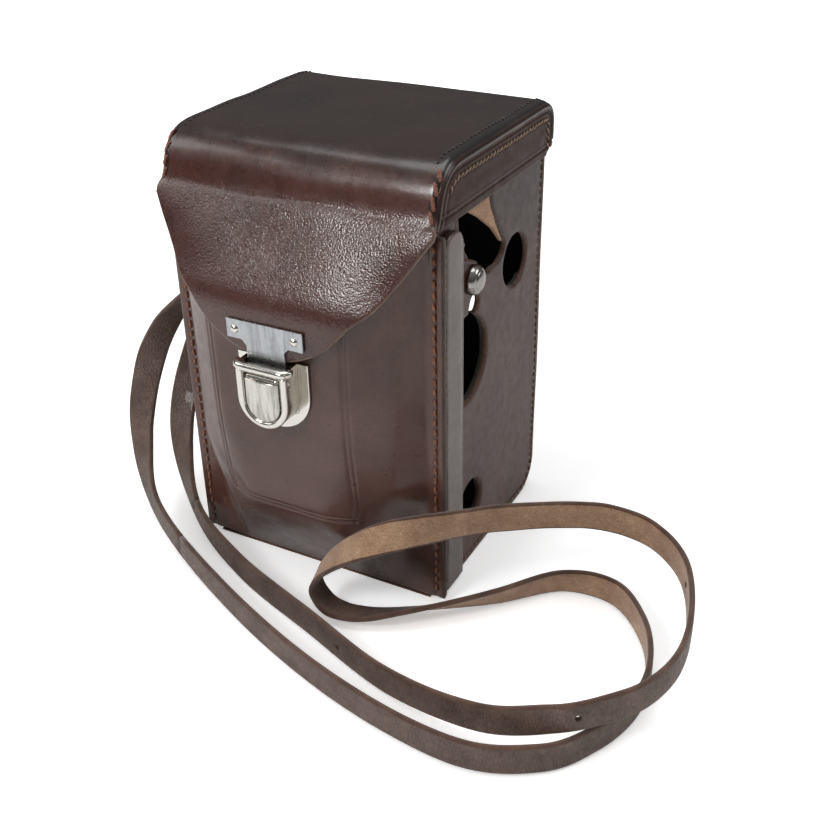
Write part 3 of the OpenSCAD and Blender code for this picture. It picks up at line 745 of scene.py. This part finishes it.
def lid_walls():
    def shape(p, n):
        outward = np.abs(n[:, 0]) > 0.6
        top = distance_to_profile(p)
        line = groove(top - 4.0, 0.5, 0.3) + groove(p[:, 2] - LID_Z - 3.1, 0.4, 0.38)
        line += groove(top - 6.6, 0.9, 0.28) - groove(p[:, 2] - LID_Z - 4.2, 0.5, 0.2)
        soft = ripple(p, 20, 3) * 0.12 + 0.5 * smoothstep(9, 14, top) * smoothstep(2, 6, p[:, 2] - LID_Z)
        return n * ((line + soft * 0.6) * outward)[:, None]

    for _, side in SIDES:
        node = f"lid_{side}_wall"
        soften("lid_wall_" + side, node, 0.35, [WALL_LEATHER], "lid", "case_leather", shape)


def lid_seams():
    """Stitches along the lid's sides, near-black beads painted as the shade in the stitch holes along its
    top, thick stitches down its front corners.
    """
    keep = (PROFILE[:, 1] > LID_Z + 14) | (PROFILE[:, 0] > BACK_Y - 6)
    front = (PROFILE[:, 1] > LID_Z + 2.5) & (PROFILE[:, 0] < LID_FRONT_Y + 7)
    along, edge = PROFILE_S[keep], PROFILE[front]
    for sign, name in SIDES:
        low = beside_profile(PROFILE[keep], sign * (LID_X + 0.05), 6.6)
        low = low[(low[:, 1] > -38) & (low[:, 1] < 38.5)]
        stitches("lid_stitches_" + name, low, (sign, 0, 0), THREAD_PALE, 2.5, 2.5, 0.26,
                 slant=0.6 * sign, lift=0.5, body="lid")
        holes = lid_surface(along, np.full(len(along), sign * (LID_X - 4.4)), 0)
        holes = holes[(holes[:, 1] > -38) & (holes[:, 1] < 41)]
        # near-black beads, painted as the shade inside the stitch holes
        stitches("lid_hole_shades_" + name, holes, (0, 0, 1), HOLE_SHADE, 2.6, 1.25, 0.5, lift=0.1, body="lid")
        thick = np.stack([np.full(len(edge), sign * (LID_X - 1.8)), edge[:, 0] + 0.3, edge[:, 1] + 0.1], 1)
        stitches("corner_stitches_" + name, thick, (sign * 0.45, -0.85, 0.25), THREAD_PINK, 4.0, 4.9, 0.62,
                 slant=0.3 * sign, lift=0.35, body="lid", twist=5.0, ply=0.28)


# ---- front cover ----

def plane_through(a, b, c):
    """Depth as a + b|x| + cz through three (x, z, depth) points."""
    m = np.array([[1, a[0], a[1]], [1, b[0], b[1]], [1, c[0], c[1]]], float)
    return np.linalg.solve(m, [a[2], b[2], c[2]])


def cover_depth(x, z):
    """How far the moulded cover stands forward at (x, z): facets blended, then eased onto the flange."""
    half = np.abs(x)
    mid = BULGE * 0.54
    rise = BULGE - mid
    facets = [np.full(x.shape, BULGE),
              BULGE - rise * (half - CREASE_X) / 14, mid * (45.8 - half) / 6.3,
              BULGE - rise * (CREASE_Z - z) / 18, mid * (z - 2.2) / 15.8,
              BULGE - rise * (z - 111) / 13, mid * (135.6 - z) / 11.6]
    for corner in ((CREASE_X, CREASE_Z, BULGE), (45.5, 2.2, 0)):
        k = plane_through(corner, (39.5, 50, mid), (28, 18, mid))
        facets.append(k[0] + k[1] * half + k[2] * z)
    soft = 0.85
    d = -soft * np.log(sum(np.exp(-np.clip(f, -60, 60) / soft) for f in facets))
    return 0.5 * (d + np.sqrt(d * d + 2.2)) - 0.25


def cover_panel():
    """Moulded front with its creases, seam grooves and slight unevenness."""
    def spaced(low, high, step, marks):
        base = np.arange(low, high + step / 2, step)
        extra = [np.arange(m - 3, m + 3, 0.35) for m in marks]
        q = np.unique(np.round(np.concatenate([base] + extra), 3))
        return q[(q >= low) & (q <= high)]

    x = spaced(-FLANGE_X, FLANGE_X, 1.0, (-FLANGE_SEAM_X, -CREASE_X, CREASE_X, FLANGE_SEAM_X))
    z = spaced(COVER_LOW[2], COVER_HIGH[2], 1.0, (CREASE_Z,))
    grid_z, grid_x = np.meshgrid(z, x, indexing="ij")
    d = cover_depth(grid_x, grid_z)
    half = np.abs(grid_x)
    across, up = half - CREASE_X, grid_z - CREASE_Z
    upright = (groove(across + 0.5, 0.55, 0.55) + groove(across - 1.1, 0.55, 0.35)) * smoothstep(-2.5, 0, up)
    level = (groove(up + 0.6, 0.55, 0.5) + groove(up - 1.0, 0.5, 0.3)) * (1 - smoothstep(-0.5, 1.5, across))
    seam = groove(half - FLANGE_SEAM_X, 0.8, 0.35)
    p = np.stack([grid_x, np.full(grid_x.shape, FLANGE_Y), grid_z], -1)
    soft = (ripple(p, 30, 8) * 0.22 + ripple(p, 9, 9) * 0.04) * smoothstep(0.5, 6, d)
    p[..., 1] -= np.maximum(d, 0) + upright + level + seam + soft
    # the rim takes the darker cut edge, painted as the shade in the gap beside the side strips
    obj = sheet("cover_leather_panel", p, LEATHER, (0, -1, 0), [COVER_LEATHER, COVER_EDGE_SHADE])
    place(obj, "front_cover", "case_leather", "front_panel")


def cover_strips():
    front = STRIP_LOW[1]

    def shape(p, n):
        outward = np.abs(n[:, 0]) > 0.6
        line = groove(p[:, 1] - front - 2.3, 0.4, 0.3) + groove(p[:, 1] - STRIP_HIGH[1] + 1.6, 0.35, 0.22)
        crown = -0.5 * smoothstep(4, 8, np.abs(p[:, 1] - (front + STRIP_HIGH[1]) / 2))
        return n * ((line + crown + ripple(p, 26, 4) * 0.14) * outward)[:, None]

    for _, side in SIDES:
        node = f"cover_{side}_wall"
        soften("cover_strip_" + side, node, 0.5, [STRIP_LEATHER], "front_cover", "case_leather", shape, 4)


def cover_seams():
    for sign, name in SIDES:
        path = [(sign * FLANGE_SEAM_X, FLANGE_Y - 0.1, z) for z in (4, 136)]
        stitches("flange_stitches_" + name, path, (0, -1, 0), THREAD, 3.8, 2.9, 0.5, slant=0.12,
                 body="front_cover")
        path = [(sign * (STRIP_HIGH[0] + 0.02), STRIP_LOW[1] + 2.3, z) for z in (5, 132)]
        stitches("strip_stitches_" + name, path, (sign, 0, 0), THREAD_TAN, 3.2, 1.5, 0.2, lift=0.0,
                 body="front_cover")


# ---- body ----

def body_panels():
    def warp(p, n):
        return n * (ripple(p, 42, 2) * 0.16 + ripple(p, 12, 7) * 0.03)[:, None]

    def hang(p, n):
        return warp(p, n) + np.array([0, 0, -FELT_SLACK])

    def cut_faces(n):
        return np.abs(n[:, 0]) < 0.55

    def warp_side(p, n):
        flat = np.abs(n[:, 0]) > 0.6
        seam = groove(BACK_Y - p[:, 1] - SEAM_INSET, 0.8, 0.3) * (p[:, 2] > 12)
        seam += groove(p[:, 2] - SEAM_INSET, 0.8, 0.3) * (p[:, 1] < BACK_Y - 12)
        return n * ((ripple(p, 45, 12) * 0.2 + seam) * flat)[:, None]

    for _, side in SIDES:
        soften("body_side_" + side, side + "_side_panel", 0.7, [SIDE_LEATHER, CUT_EDGE], "body",
               "case_leather", warp_side, 3, cut_faces)
    soften("body_back", "back_bottom_panel", 0.8, [SIDE_LEATHER], "body", "case_leather", warp, 4)
    soften("strap_facing", "right_facing", 0.4, [TAN_SUEDE], "body", "suede", warp)
    for node, voxel in (("back_lining", 0.35), ("right_lining", 0.3), ("left_lining", 0.3)):
        soften("felt_" + node, node, voxel, [FELT], "body", "felt", warp, 1)
    soften("felt_lid", "lid_lining", 0.3, [FELT], "lid", "felt", hang, 1)
    soften("floor_board", "base_board", 0.5, [BOARD], "body", "fibreboard", warp)


def body_seams():
    bend = arc((BACK_Y - BOTTOM_R, BOTTOM_R), BOTTOM_R - SEAM_INSET, 0, -90)
    line = [(BACK_Y - SEAM_INSET, LID_Z - 1)] + bend + [(FLANGE_Y + 7, SEAM_INSET)]
    for sign, name in SIDES:
        path = [(sign * (SIDE_HIGH[0] + 0.05), y, z) for y, z in line]
        stitches("side_stitches_" + name, path, (sign, 0, 0), THREAD_TAN, 3.1, 2.4, 0.4, slant=0.1)


def bending_strip(name, node, points, thickness, toward, skin):
    """Flat leather strip in place of a CAD node."""
    obj = sheet(name, points, thickness, toward, [skin, CUT_EDGE])
    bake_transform(obj)
    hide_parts(node)


def hinge_leathers():
    """Soft leather strips, built flat, where the lid and the front cover turn."""
    low, high = box("lid_hinge_strip")
    z, x = np.meshgrid(np.linspace(low[2], LID_HIGH[2] - 14.5, 26), np.linspace(low[0], high[0], 60),
                       indexing="ij")
    p = np.stack([x, np.full(z.shape, high[1] - 0.05), z], -1)
    bending_strip("lid_hinge_leather", "lid_hinge_strip", p, 1.1, (0, 1, 0), INNER_SUEDE)
    low, high = box("cover_hinge_strip")
    y, x = np.meshgrid(np.linspace(FLANGE_Y + 0.6, high[1] + 2, 20), np.linspace(low[0], high[0], 60),
                       indexing="ij")
    p = np.stack([x, y, np.full(y.shape, 0.15)], -1)
    bending_strip("cover_hinge_leather", "cover_hinge_strip", p, 0.75, (0, 0, -1), SIDE_LEATHER)


# ---- metalwork ----

def shield_path(w, low, high, n=20):
    r = w / 2
    right = [(r, high), (r, (high + low + r) / 2)]
    return np.array(right + arc((0, low + r), r, 0, -180, n) + [(-r, (high + low + r) / 2), (-r, high)])


def tapered(count, reach, tip):
    """Factors for a bar's radius, rounded off over reach points at each end."""
    ends = np.minimum(np.arange(count), np.arange(count)[::-1])
    return np.sqrt(np.clip(ends / reach + tip, 0, 1))


def hasp_and_lock():
    # the lock housing's nickel is painted dark as a reflection of the leather beside it
    for node, voxel, material, body in (("hasp_plate", 0.15, SATIN, "lid"),
                                        ("lock_base_plate", 0.2, NICKEL, "front_cover"),
                                        ("lock_housing", 0.2, SHADED, "front_cover")):
        soften(node + "_face", node, voxel, [material], body, "nickel")
    for node in ("hasp_backing_plate", "lock_backing_plate", "latch_bolt", "screw_bush", "retaining_screw",
                 "stud_washers", "lock_prongs", "lock_hinge_pin"):
        polish(node, NICKEL, 0.12, 2)
    polish("hasp_rivets", NICKEL, 0.1, 2)
    polish("lock_spring", STEEL, 0.01, 1)
    front = LOCK_LOW[1] + 0.8
    w = LOCK_HIGH[0] - LOCK_LOW[0] - 1.2
    rim = shield_path(w - 2.0, LOCK_LOW[2] + 1.0, LOCK_HIGH[2] - 2.2)
    rim = resample([(x, front, z) for x, z in rim], 0.5)
    place(band_sweep("lock_frame", rim, (0, -1, 0), 2.3, 1.5, [NICKEL]), "front_cover", "nickel")
    half = w / 2 + 0.5
    lip = [(-half + 0.3, front + 4.0), (-half - 0.1, front + 1.8), (-half + 0.9, front + 0.15),
           (-half + 2.6, front - 0.2)]
    lip = lip + [(-x, y) for x, y in lip[::-1]]
    lip = resample([(x, y, LOCK_HIGH[2] - 1.1) for x, y in lip], 0.6)
    lip = np.stack([np.convolve(np.pad(lip[:, k], 2, "edge"), np.ones(5) / 5, "valid") for k in range(3)], 1)
    place(tube("lock_lip", lip, 1.45 * tapered(len(lip), 2.5, 0.12), [NICKEL], 16), "front_cover", "nickel")


def band_sweep(name, path, outward, width, height, materials):
    """Half-round moulding along a flat path: width lies in the face, height stands outward."""
    outward = np.asarray(outward, float)
    side = np.cross(unit(np.gradient(path, axis=0)), outward)
    a = np.linspace(0, 2 * math.pi, 15)[:-1]
    ring = (side[:, None] * (np.cos(a) * width / 2)[None, :, None]
            + outward[None, None, :] * (np.sin(a) * height / 2)[None, :, None])
    points = (path[:, None] + ring).reshape(-1, 3)
    return make(name, points, skin_faces(len(path), len(a)), materials)


def push_button():
    """Domed button with a round foot, and the roll it hangs on."""
    w = (BUTTON_HIGH[0] - BUTTON_LOW[0]) / 2
    high, front = BUTTON_HIGH[2] - 1.6, BUTTON_LOW[1]
    v = np.linspace(-1, 1, 41)[None, :]
    foot = BUTTON_LOW[2] + w
    phi = np.linspace(0.04, math.pi / 2, 22)
    z = np.concatenate([foot - w * np.cos(phi), np.linspace(foot, high, 24)[1:]])
    half = np.concatenate([w * np.sin(phi), np.full(23, w)])
    x = half[:, None] * np.sin(v * math.pi / 2)
    zz = np.broadcast_to(z[:, None], x.shape)
    down = np.clip((foot - zz) / w, 0, 1)
    edge = np.clip(1 - (x / w) ** 2 - down ** 2, 0, 1)
    p = np.stack([x, front + 1.35 - 1.9 * edge ** 0.45, zz], -1)
    obj = sheet("button_face", p, 1.0, (0, -1, 0), [BRUSHED, BRUSHED])
    place(obj, "lock_button", "nickel", "lock_button")
    bar = [(x, PIN_LOW[1] + 0.55, PIN_HIGH[2] - 0.7) for x in np.linspace(-w + 0.1, w - 0.1, 30)]
    roll = tube("button_hinge_roll", bar, 1.45 * tapered(len(bar), 2, 0.15), [NICKEL], 18)
    place(roll, "lock_button", "nickel")


def studs():
    """Domed stud heads with a turned ring, on shanks through the sides."""
    r = (STUD_HIGH[2] - STUD_LOW[2]) / 2
    for sign, name, gap, top in ((1, "right", 0.1, STUD_HIGH[0]), (-1, "left", 2.3, -STUD_LOW[0])):
        seat = SIDE_HIGH[0] + gap
        h = top - seat
        tail = -gap - 5.2
        profile = [(0.01, tail), (1.7, tail), (1.9, tail + 0.2), (1.9, 0), (r - 1.2, 0.02), (r - 0.2, 0.1),
                   (r, 0.5), (r - 0.1, 0.9)]
        for k in np.linspace(0.93, 0.02, 22):
            ring = -0.16 * math.exp(-((k - 0.72) / 0.04) ** 2)
            profile.append(((r - 0.15) * k, 0.9 + (h - 0.9) * math.sqrt(max(0, 1 - k * k)) + ring))
        # the stud metal is nickel painted dark as a reflection of its surroundings
        obj = lathe("stud_" + name, profile, (sign * seat, STUD_Y, STUD_Z), (sign, 0, 0), [STUD_NICKEL_DARKENED])
        nodes = ("strap_studs",) if sign > 0 else ()
        place(obj, "body", "nickel", *nodes)


# ---- neck strap ----

TAB_X = SIDE_HIGH[0] + 1.2
IN_X = SIDE_LOW[0] - 1.1
FLOOR_Z = 6.0
STRAP_DOWN = [
    (-TAB_X, STUD_Y, STUD_Z + 3.5), (-TAB_X, STUD_Y, STUD_Z - 4), (-TAB_X - 0.5, STUD_Y, STUD_Z - 8),
    (-53, -18, 100), (-63, -22, 91), (-76, -26, 76), (-85, -30, 56), (-84, -40, 32)]
STRAP_FLOOR = [
    (-64, -58, 12), (-13, -83, FLOOR_Z), (41, -103, FLOOR_Z), (87, -110, FLOOR_Z),
    (112, -101, FLOOR_Z), (124, -86, FLOOR_Z), (130, -68, FLOOR_Z), (129, -50, FLOOR_Z),
    (121, -32, FLOOR_Z), (106, -18, FLOOR_Z), (87, -20, FLOOR_Z), (70, -38, FLOOR_Z),
    (57, -50, FLOOR_Z), (43, -60, 5), (33, -65, 3.6), (24, -67, 3), (17, -67, 4.5),
    (12.8, -66.6, 11), (16, -66, 18.5), (23, -66, 26), (33, -65, 33.5), (43, -60, 37.5), (53.5, -50.5, 38),
    (60.5, -42, 37), (68, -34, 36), (85, -20, 34), (100, -13, 33), (116, -13, 31), (130, -23, 28),
    (138, -41, 24), (140, -60, 21.5), (135, -76, 20), (125, -87, 18.5), (113, -94, 16),
    (90, -97, 9), (56, -93, FLOOR_Z), (18, -80, FLOOR_Z), (-22, -65, FLOOR_Z), (-52, -50, 13)]
STRAP_UP = [
    (-70, -32, 36), (-71, -16, 62), (-63, -4, 90), (-56, -3, 110), (-52, -6, 121), (-47.5, -9, 130),
    (-44.4, -8.5, 137), (-42.5, -5, 145), (-36, -5, 151.6), (-20, -6, 152.6), (20, -14, 152.6),
    (36, -20, 151.6), (42.5, -24, 145), (IN_X - 0.4, -25.5, 137), (IN_X - 0.2, -24, 127),
    (IN_X, -20.5, STUD_Z + 7), (IN_X, STUD_Y - 2, STUD_Z + 2.8), (IN_X, STUD_Y + 0.6, STUD_Z - 4)]
FOLD_TURN = (12, 30, 45, 60, 72, 80, 86, 92, 100, 116, 136, 155, 172)
STRAP_W = 10.8
STRAP_T = 1.9
STEPS = 12                      # path points from one point of the course to the next
PAST_START = 5                  # path points from STRAP_FLOOR's start to the stretch on the floor
GRAIN_OUT = 10                  # points of STRAP_UP before the stretch whose flesh side is polished
HOLES_AT = (28.4, 32.5, 35.6)   # adjusting holes, counted in points of STRAP_FLOOR
GRAIN, FLESH, CUT = 0, 1, 2     # material marks of the strap's faces


def strap_course():
    """Centre line of the strap and the direction of its width, in fine steps."""
    wide = [(0, 1, 0)] * 3
    wide += [(0.2, 1, 0), (0.3, 1, 0), (0.6, 0.8, 0), (0.8, 0.5, 0.1), (0.7, 0.3, 0.6)]
    wide += [(0, 0, 1)] * 10
    for a in np.radians(FOLD_TURN):
        wide.append((0.25 * math.sin(a), -math.sin(a), math.cos(a)))
    wide += [(0, 0, -1)] * (len(STRAP_FLOOR) - 23)
    wide += [(-0.7, -0.3, -0.5), (-0.7, -0.7, -0.1), (-0.2, -1, 0)]
    wide += [(0, -1, 0)] * (len(STRAP_UP) - 3)
    points = np.array(STRAP_DOWN + STRAP_FLOOR + STRAP_UP, float)
    return catmull(points, STEPS), catmull(np.array(wide, float), STEPS)


def catmull(p, steps):
    rows = []
    t = (np.arange(steps) / steps)[:, None]
    for i in range(len(p) - 1):
        a, b, c, d = p[max(i - 1, 0)], p[i], p[i + 1], p[min(i + 2, len(p) - 1)]
        rows.append(0.5 * (2 * b + (c - a) * t + (2 * a - 5 * b + 4 * c - d) * t ** 2
                           + (3 * b - a - 3 * c + d) * t ** 3))
    return np.concatenate(rows + [p[-1:]])


def strap_section(w, t, r):
    """Rounded rectangle as (across, through) pairs, with a material mark for each side that follows."""
    corners = []
    for sx, sy, a0 in ((1, 1, 0), (-1, 1, 90), (-1, -1, 180), (1, -1, 270)):
        corners.append([(sx * (w / 2 - r) + r * math.cos(a), sy * (t / 2 - r) + r * math.sin(a))
                        for a in np.radians(np.linspace(a0, a0 + 90, 4))])
    points, labels = [], []
    for q, kind, inner in ((0, GRAIN, 6), (1, CUT, 0), (2, FLESH, 6), (3, CUT, 0)):
        points += corners[q]
        labels += [CUT, CUT, CUT, kind]
        a, b = corners[q][-1], corners[(q + 1) % 4][0]
        for k in range(1, inner + 1):
            points.append((a[0] + (b[0] - a[0]) * k / (inner + 1), a[1] + (b[1] - a[1]) * k / (inner + 1)))
            labels.append(kind)
    return np.array(points), labels


def strap_piece(name, path, wide, first, last, flesh):
    """One stretch of the strap; the flesh side's material may change from piece to piece."""
    ahead = unit(np.gradient(path, axis=0))
    face = unit(np.cross(ahead, wide))
    across = np.cross(face, ahead)
    section, labels = strap_section(STRAP_W, STRAP_T, 0.75)
    span = slice(first, last + 1)
    path, face, across = path[span], face[span], across[span]
    run = np.arange(len(path)) * 0.9
    edge = 1 + 0.012 * np.sin(run * 0.23) + 0.008 * np.sin(run * 0.71 + 1)
    cup = 0.12 * (2 * section[:, 0] / STRAP_W) ** 2
    points = (path[:, None] + across[:, None] * (section[:, 0][None, :] * edge[:, None])[..., None]
              + face[:, None] * (section[:, 1] - cup)[None, :, None])
    faces = skin_faces(len(path), len(section))
    marks = labels * (len(path) - 1) + [CUT, CUT]
    return make(name, points.reshape(-1, 3), faces, [STRAP_GRAIN, flesh, STRAP_EDGE], marks)


def punch(obj, places):
    """Adjusting holes punched through the strap."""
    for centre, normal in places:
        cutter = lathe("cutter", [(1.15, -3), (1.15, 3)], centre, normal, [STRAP_EDGE], 20)
        cut = obj.modifiers.new("hole", "BOOLEAN")
        cut.object = cutter
        cut.operation = "DIFFERENCE"
        cut.solver = "EXACT"
        cut.material_mode = "TRANSFER"
        apply_modifiers(obj)
        bpy.data.objects.remove(cutter)


def neck_strap():
    """The strap in four stretches; the adjusting holes are punched in the one on the floor."""
    path, wide = strap_course()
    floor_end = len(STRAP_DOWN) + len(STRAP_FLOOR)
    first = len(STRAP_DOWN) * STEPS + PAST_START
    second = (floor_end - 1) * STEPS
    third = (floor_end + GRAIN_OUT) * STEPS
    left = strap_piece("strap_left_end", path, wide, 0, first, STRAP_FLESH)
    floor = strap_piece("strap_on_floor", path, wide, first, second, STRAP_FLESH)
    rest = strap_piece("strap_return", path, wide, second, third, STRAP_FLESH)
    inner = strap_piece("strap_inner_end", path, wide, third, len(path) - 1, STRAP_DARK)
    ahead = np.gradient(path, axis=0)
    spots = [int((len(STRAP_DOWN) + at) * STEPS) for at in HOLES_AT]
    punch(floor, [(path[i], np.cross(ahead[i], wide[i])) for i in spots])
    for piece in (left, rest, inner):
        place(piece, "body", "strap_leather")
    place(floor, "body", "strap_leather", "neck_strap")
    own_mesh(floor)


# ---- stage ----

FLOOR_HALF = 3000
CAMERA_AT = (0.198084, -0.328715, 0.263443)

def stage():
    """Glowing white floor, a pale tent of light and four lamps."""
    seen = "Is Camera Ray"
    material, tree, shader = nodes_for("floor_paper")
    distance = vector_math(tree, "LENGTH", {0: millimetres(tree)})["Value"]
    glow = math_node(tree, "ADD", between(tree, distance, 250, 900), 0.40)
    glow = times(tree, glow, new(tree, "LightPath", {}).outputs[seen])
    feed(tree, shader, {"Base Color": grey(0.93), "Roughness": 0.9, "Emission Color": grey(1),
                        "Emission Strength": glow})
    corners = [(x * FLOOR_HALF, y * FLOOR_HALF, -0.05) for x, y in ((-1, -1), (1, -1), (1, 1), (-1, 1))]
    make("floor", corners, [(0, 1, 2, 3)], [material])
    world = bpy.data.worlds.new("tent")
    world.use_nodes = True
    tree = world.node_tree
    height = new(tree, "SeparateXYZ", {0: new(tree, "TexCoord", {}).outputs["Generated"]}).outputs["Z"]
    strength = times(tree, new(tree, "LightPath", {}).outputs[seen], 3.0)
    feed(tree, tree.nodes["Background"], {0: grey_ramp(tree, height, 0.2, 0.35, 0.9, 1.0),
                                          1: math_node(tree, "ADD", strength, 0.3)})
    bpy.context.scene.world = world
    lamps = (("over", (-0.1, 0.1, 1.5), 1.1, 9.5), ("key", (-0.22, -0.82, 0.74), 0.26, 4.4),
             ("fill", (-1.1, -0.5, 0.9), 0.7, 4.0), ("side", (1.1, 0.5, 1.0), 0.7, 4.5))
    for name, at, size, power in lamps:
        light = bpy.data.lights.new(name, "AREA")
        light.energy = power
        light.size = size
        lamp = add_object(name, light)
        lamp.location = at
        aim = Vector((0, 0, 0.07)) - Vector(at)
        lamp.rotation_euler = aim.to_track_quat("-Z", "Y").to_euler()


def camera():
    """Camera at the photograph's viewing angle."""
    pan, tilt, roll = math.radians(29.093), math.radians(29.86), math.radians(-1.281)
    level = Vector((-math.sin(pan), math.cos(pan), 0))
    ahead = level * math.cos(tilt) - Vector((0, 0, math.sin(tilt)))
    right = ahead.cross(Vector((0, 0, 1))).normalized()
    up = right.cross(ahead)
    rolled_right = right * math.cos(roll) + up * math.sin(roll)
    rolled_up = up * math.cos(roll) - right * math.sin(roll)
    data = bpy.data.cameras.new("camera")
    data.sensor_width = 36
    data.lens = 50.28
    data.clip_start = 0.01
    obj = add_object("camera", data)
    turn = Matrix((rolled_right, rolled_up, -ahead)).transposed().to_4x4()
    obj.matrix_world = Matrix.Translation(CAMERA_AT) @ turn
    bpy.context.scene.camera = obj


for build in (lid_panel, side_ridges, lid_walls, lid_seams, cover_panel, cover_strips, cover_seams,
              body_panels, body_seams, hinge_leathers, hasp_and_lock, push_button, studs, neck_strap,
              stage, camera):
    build()
bpy.context.scene.view_settings.view_transform = "Standard"
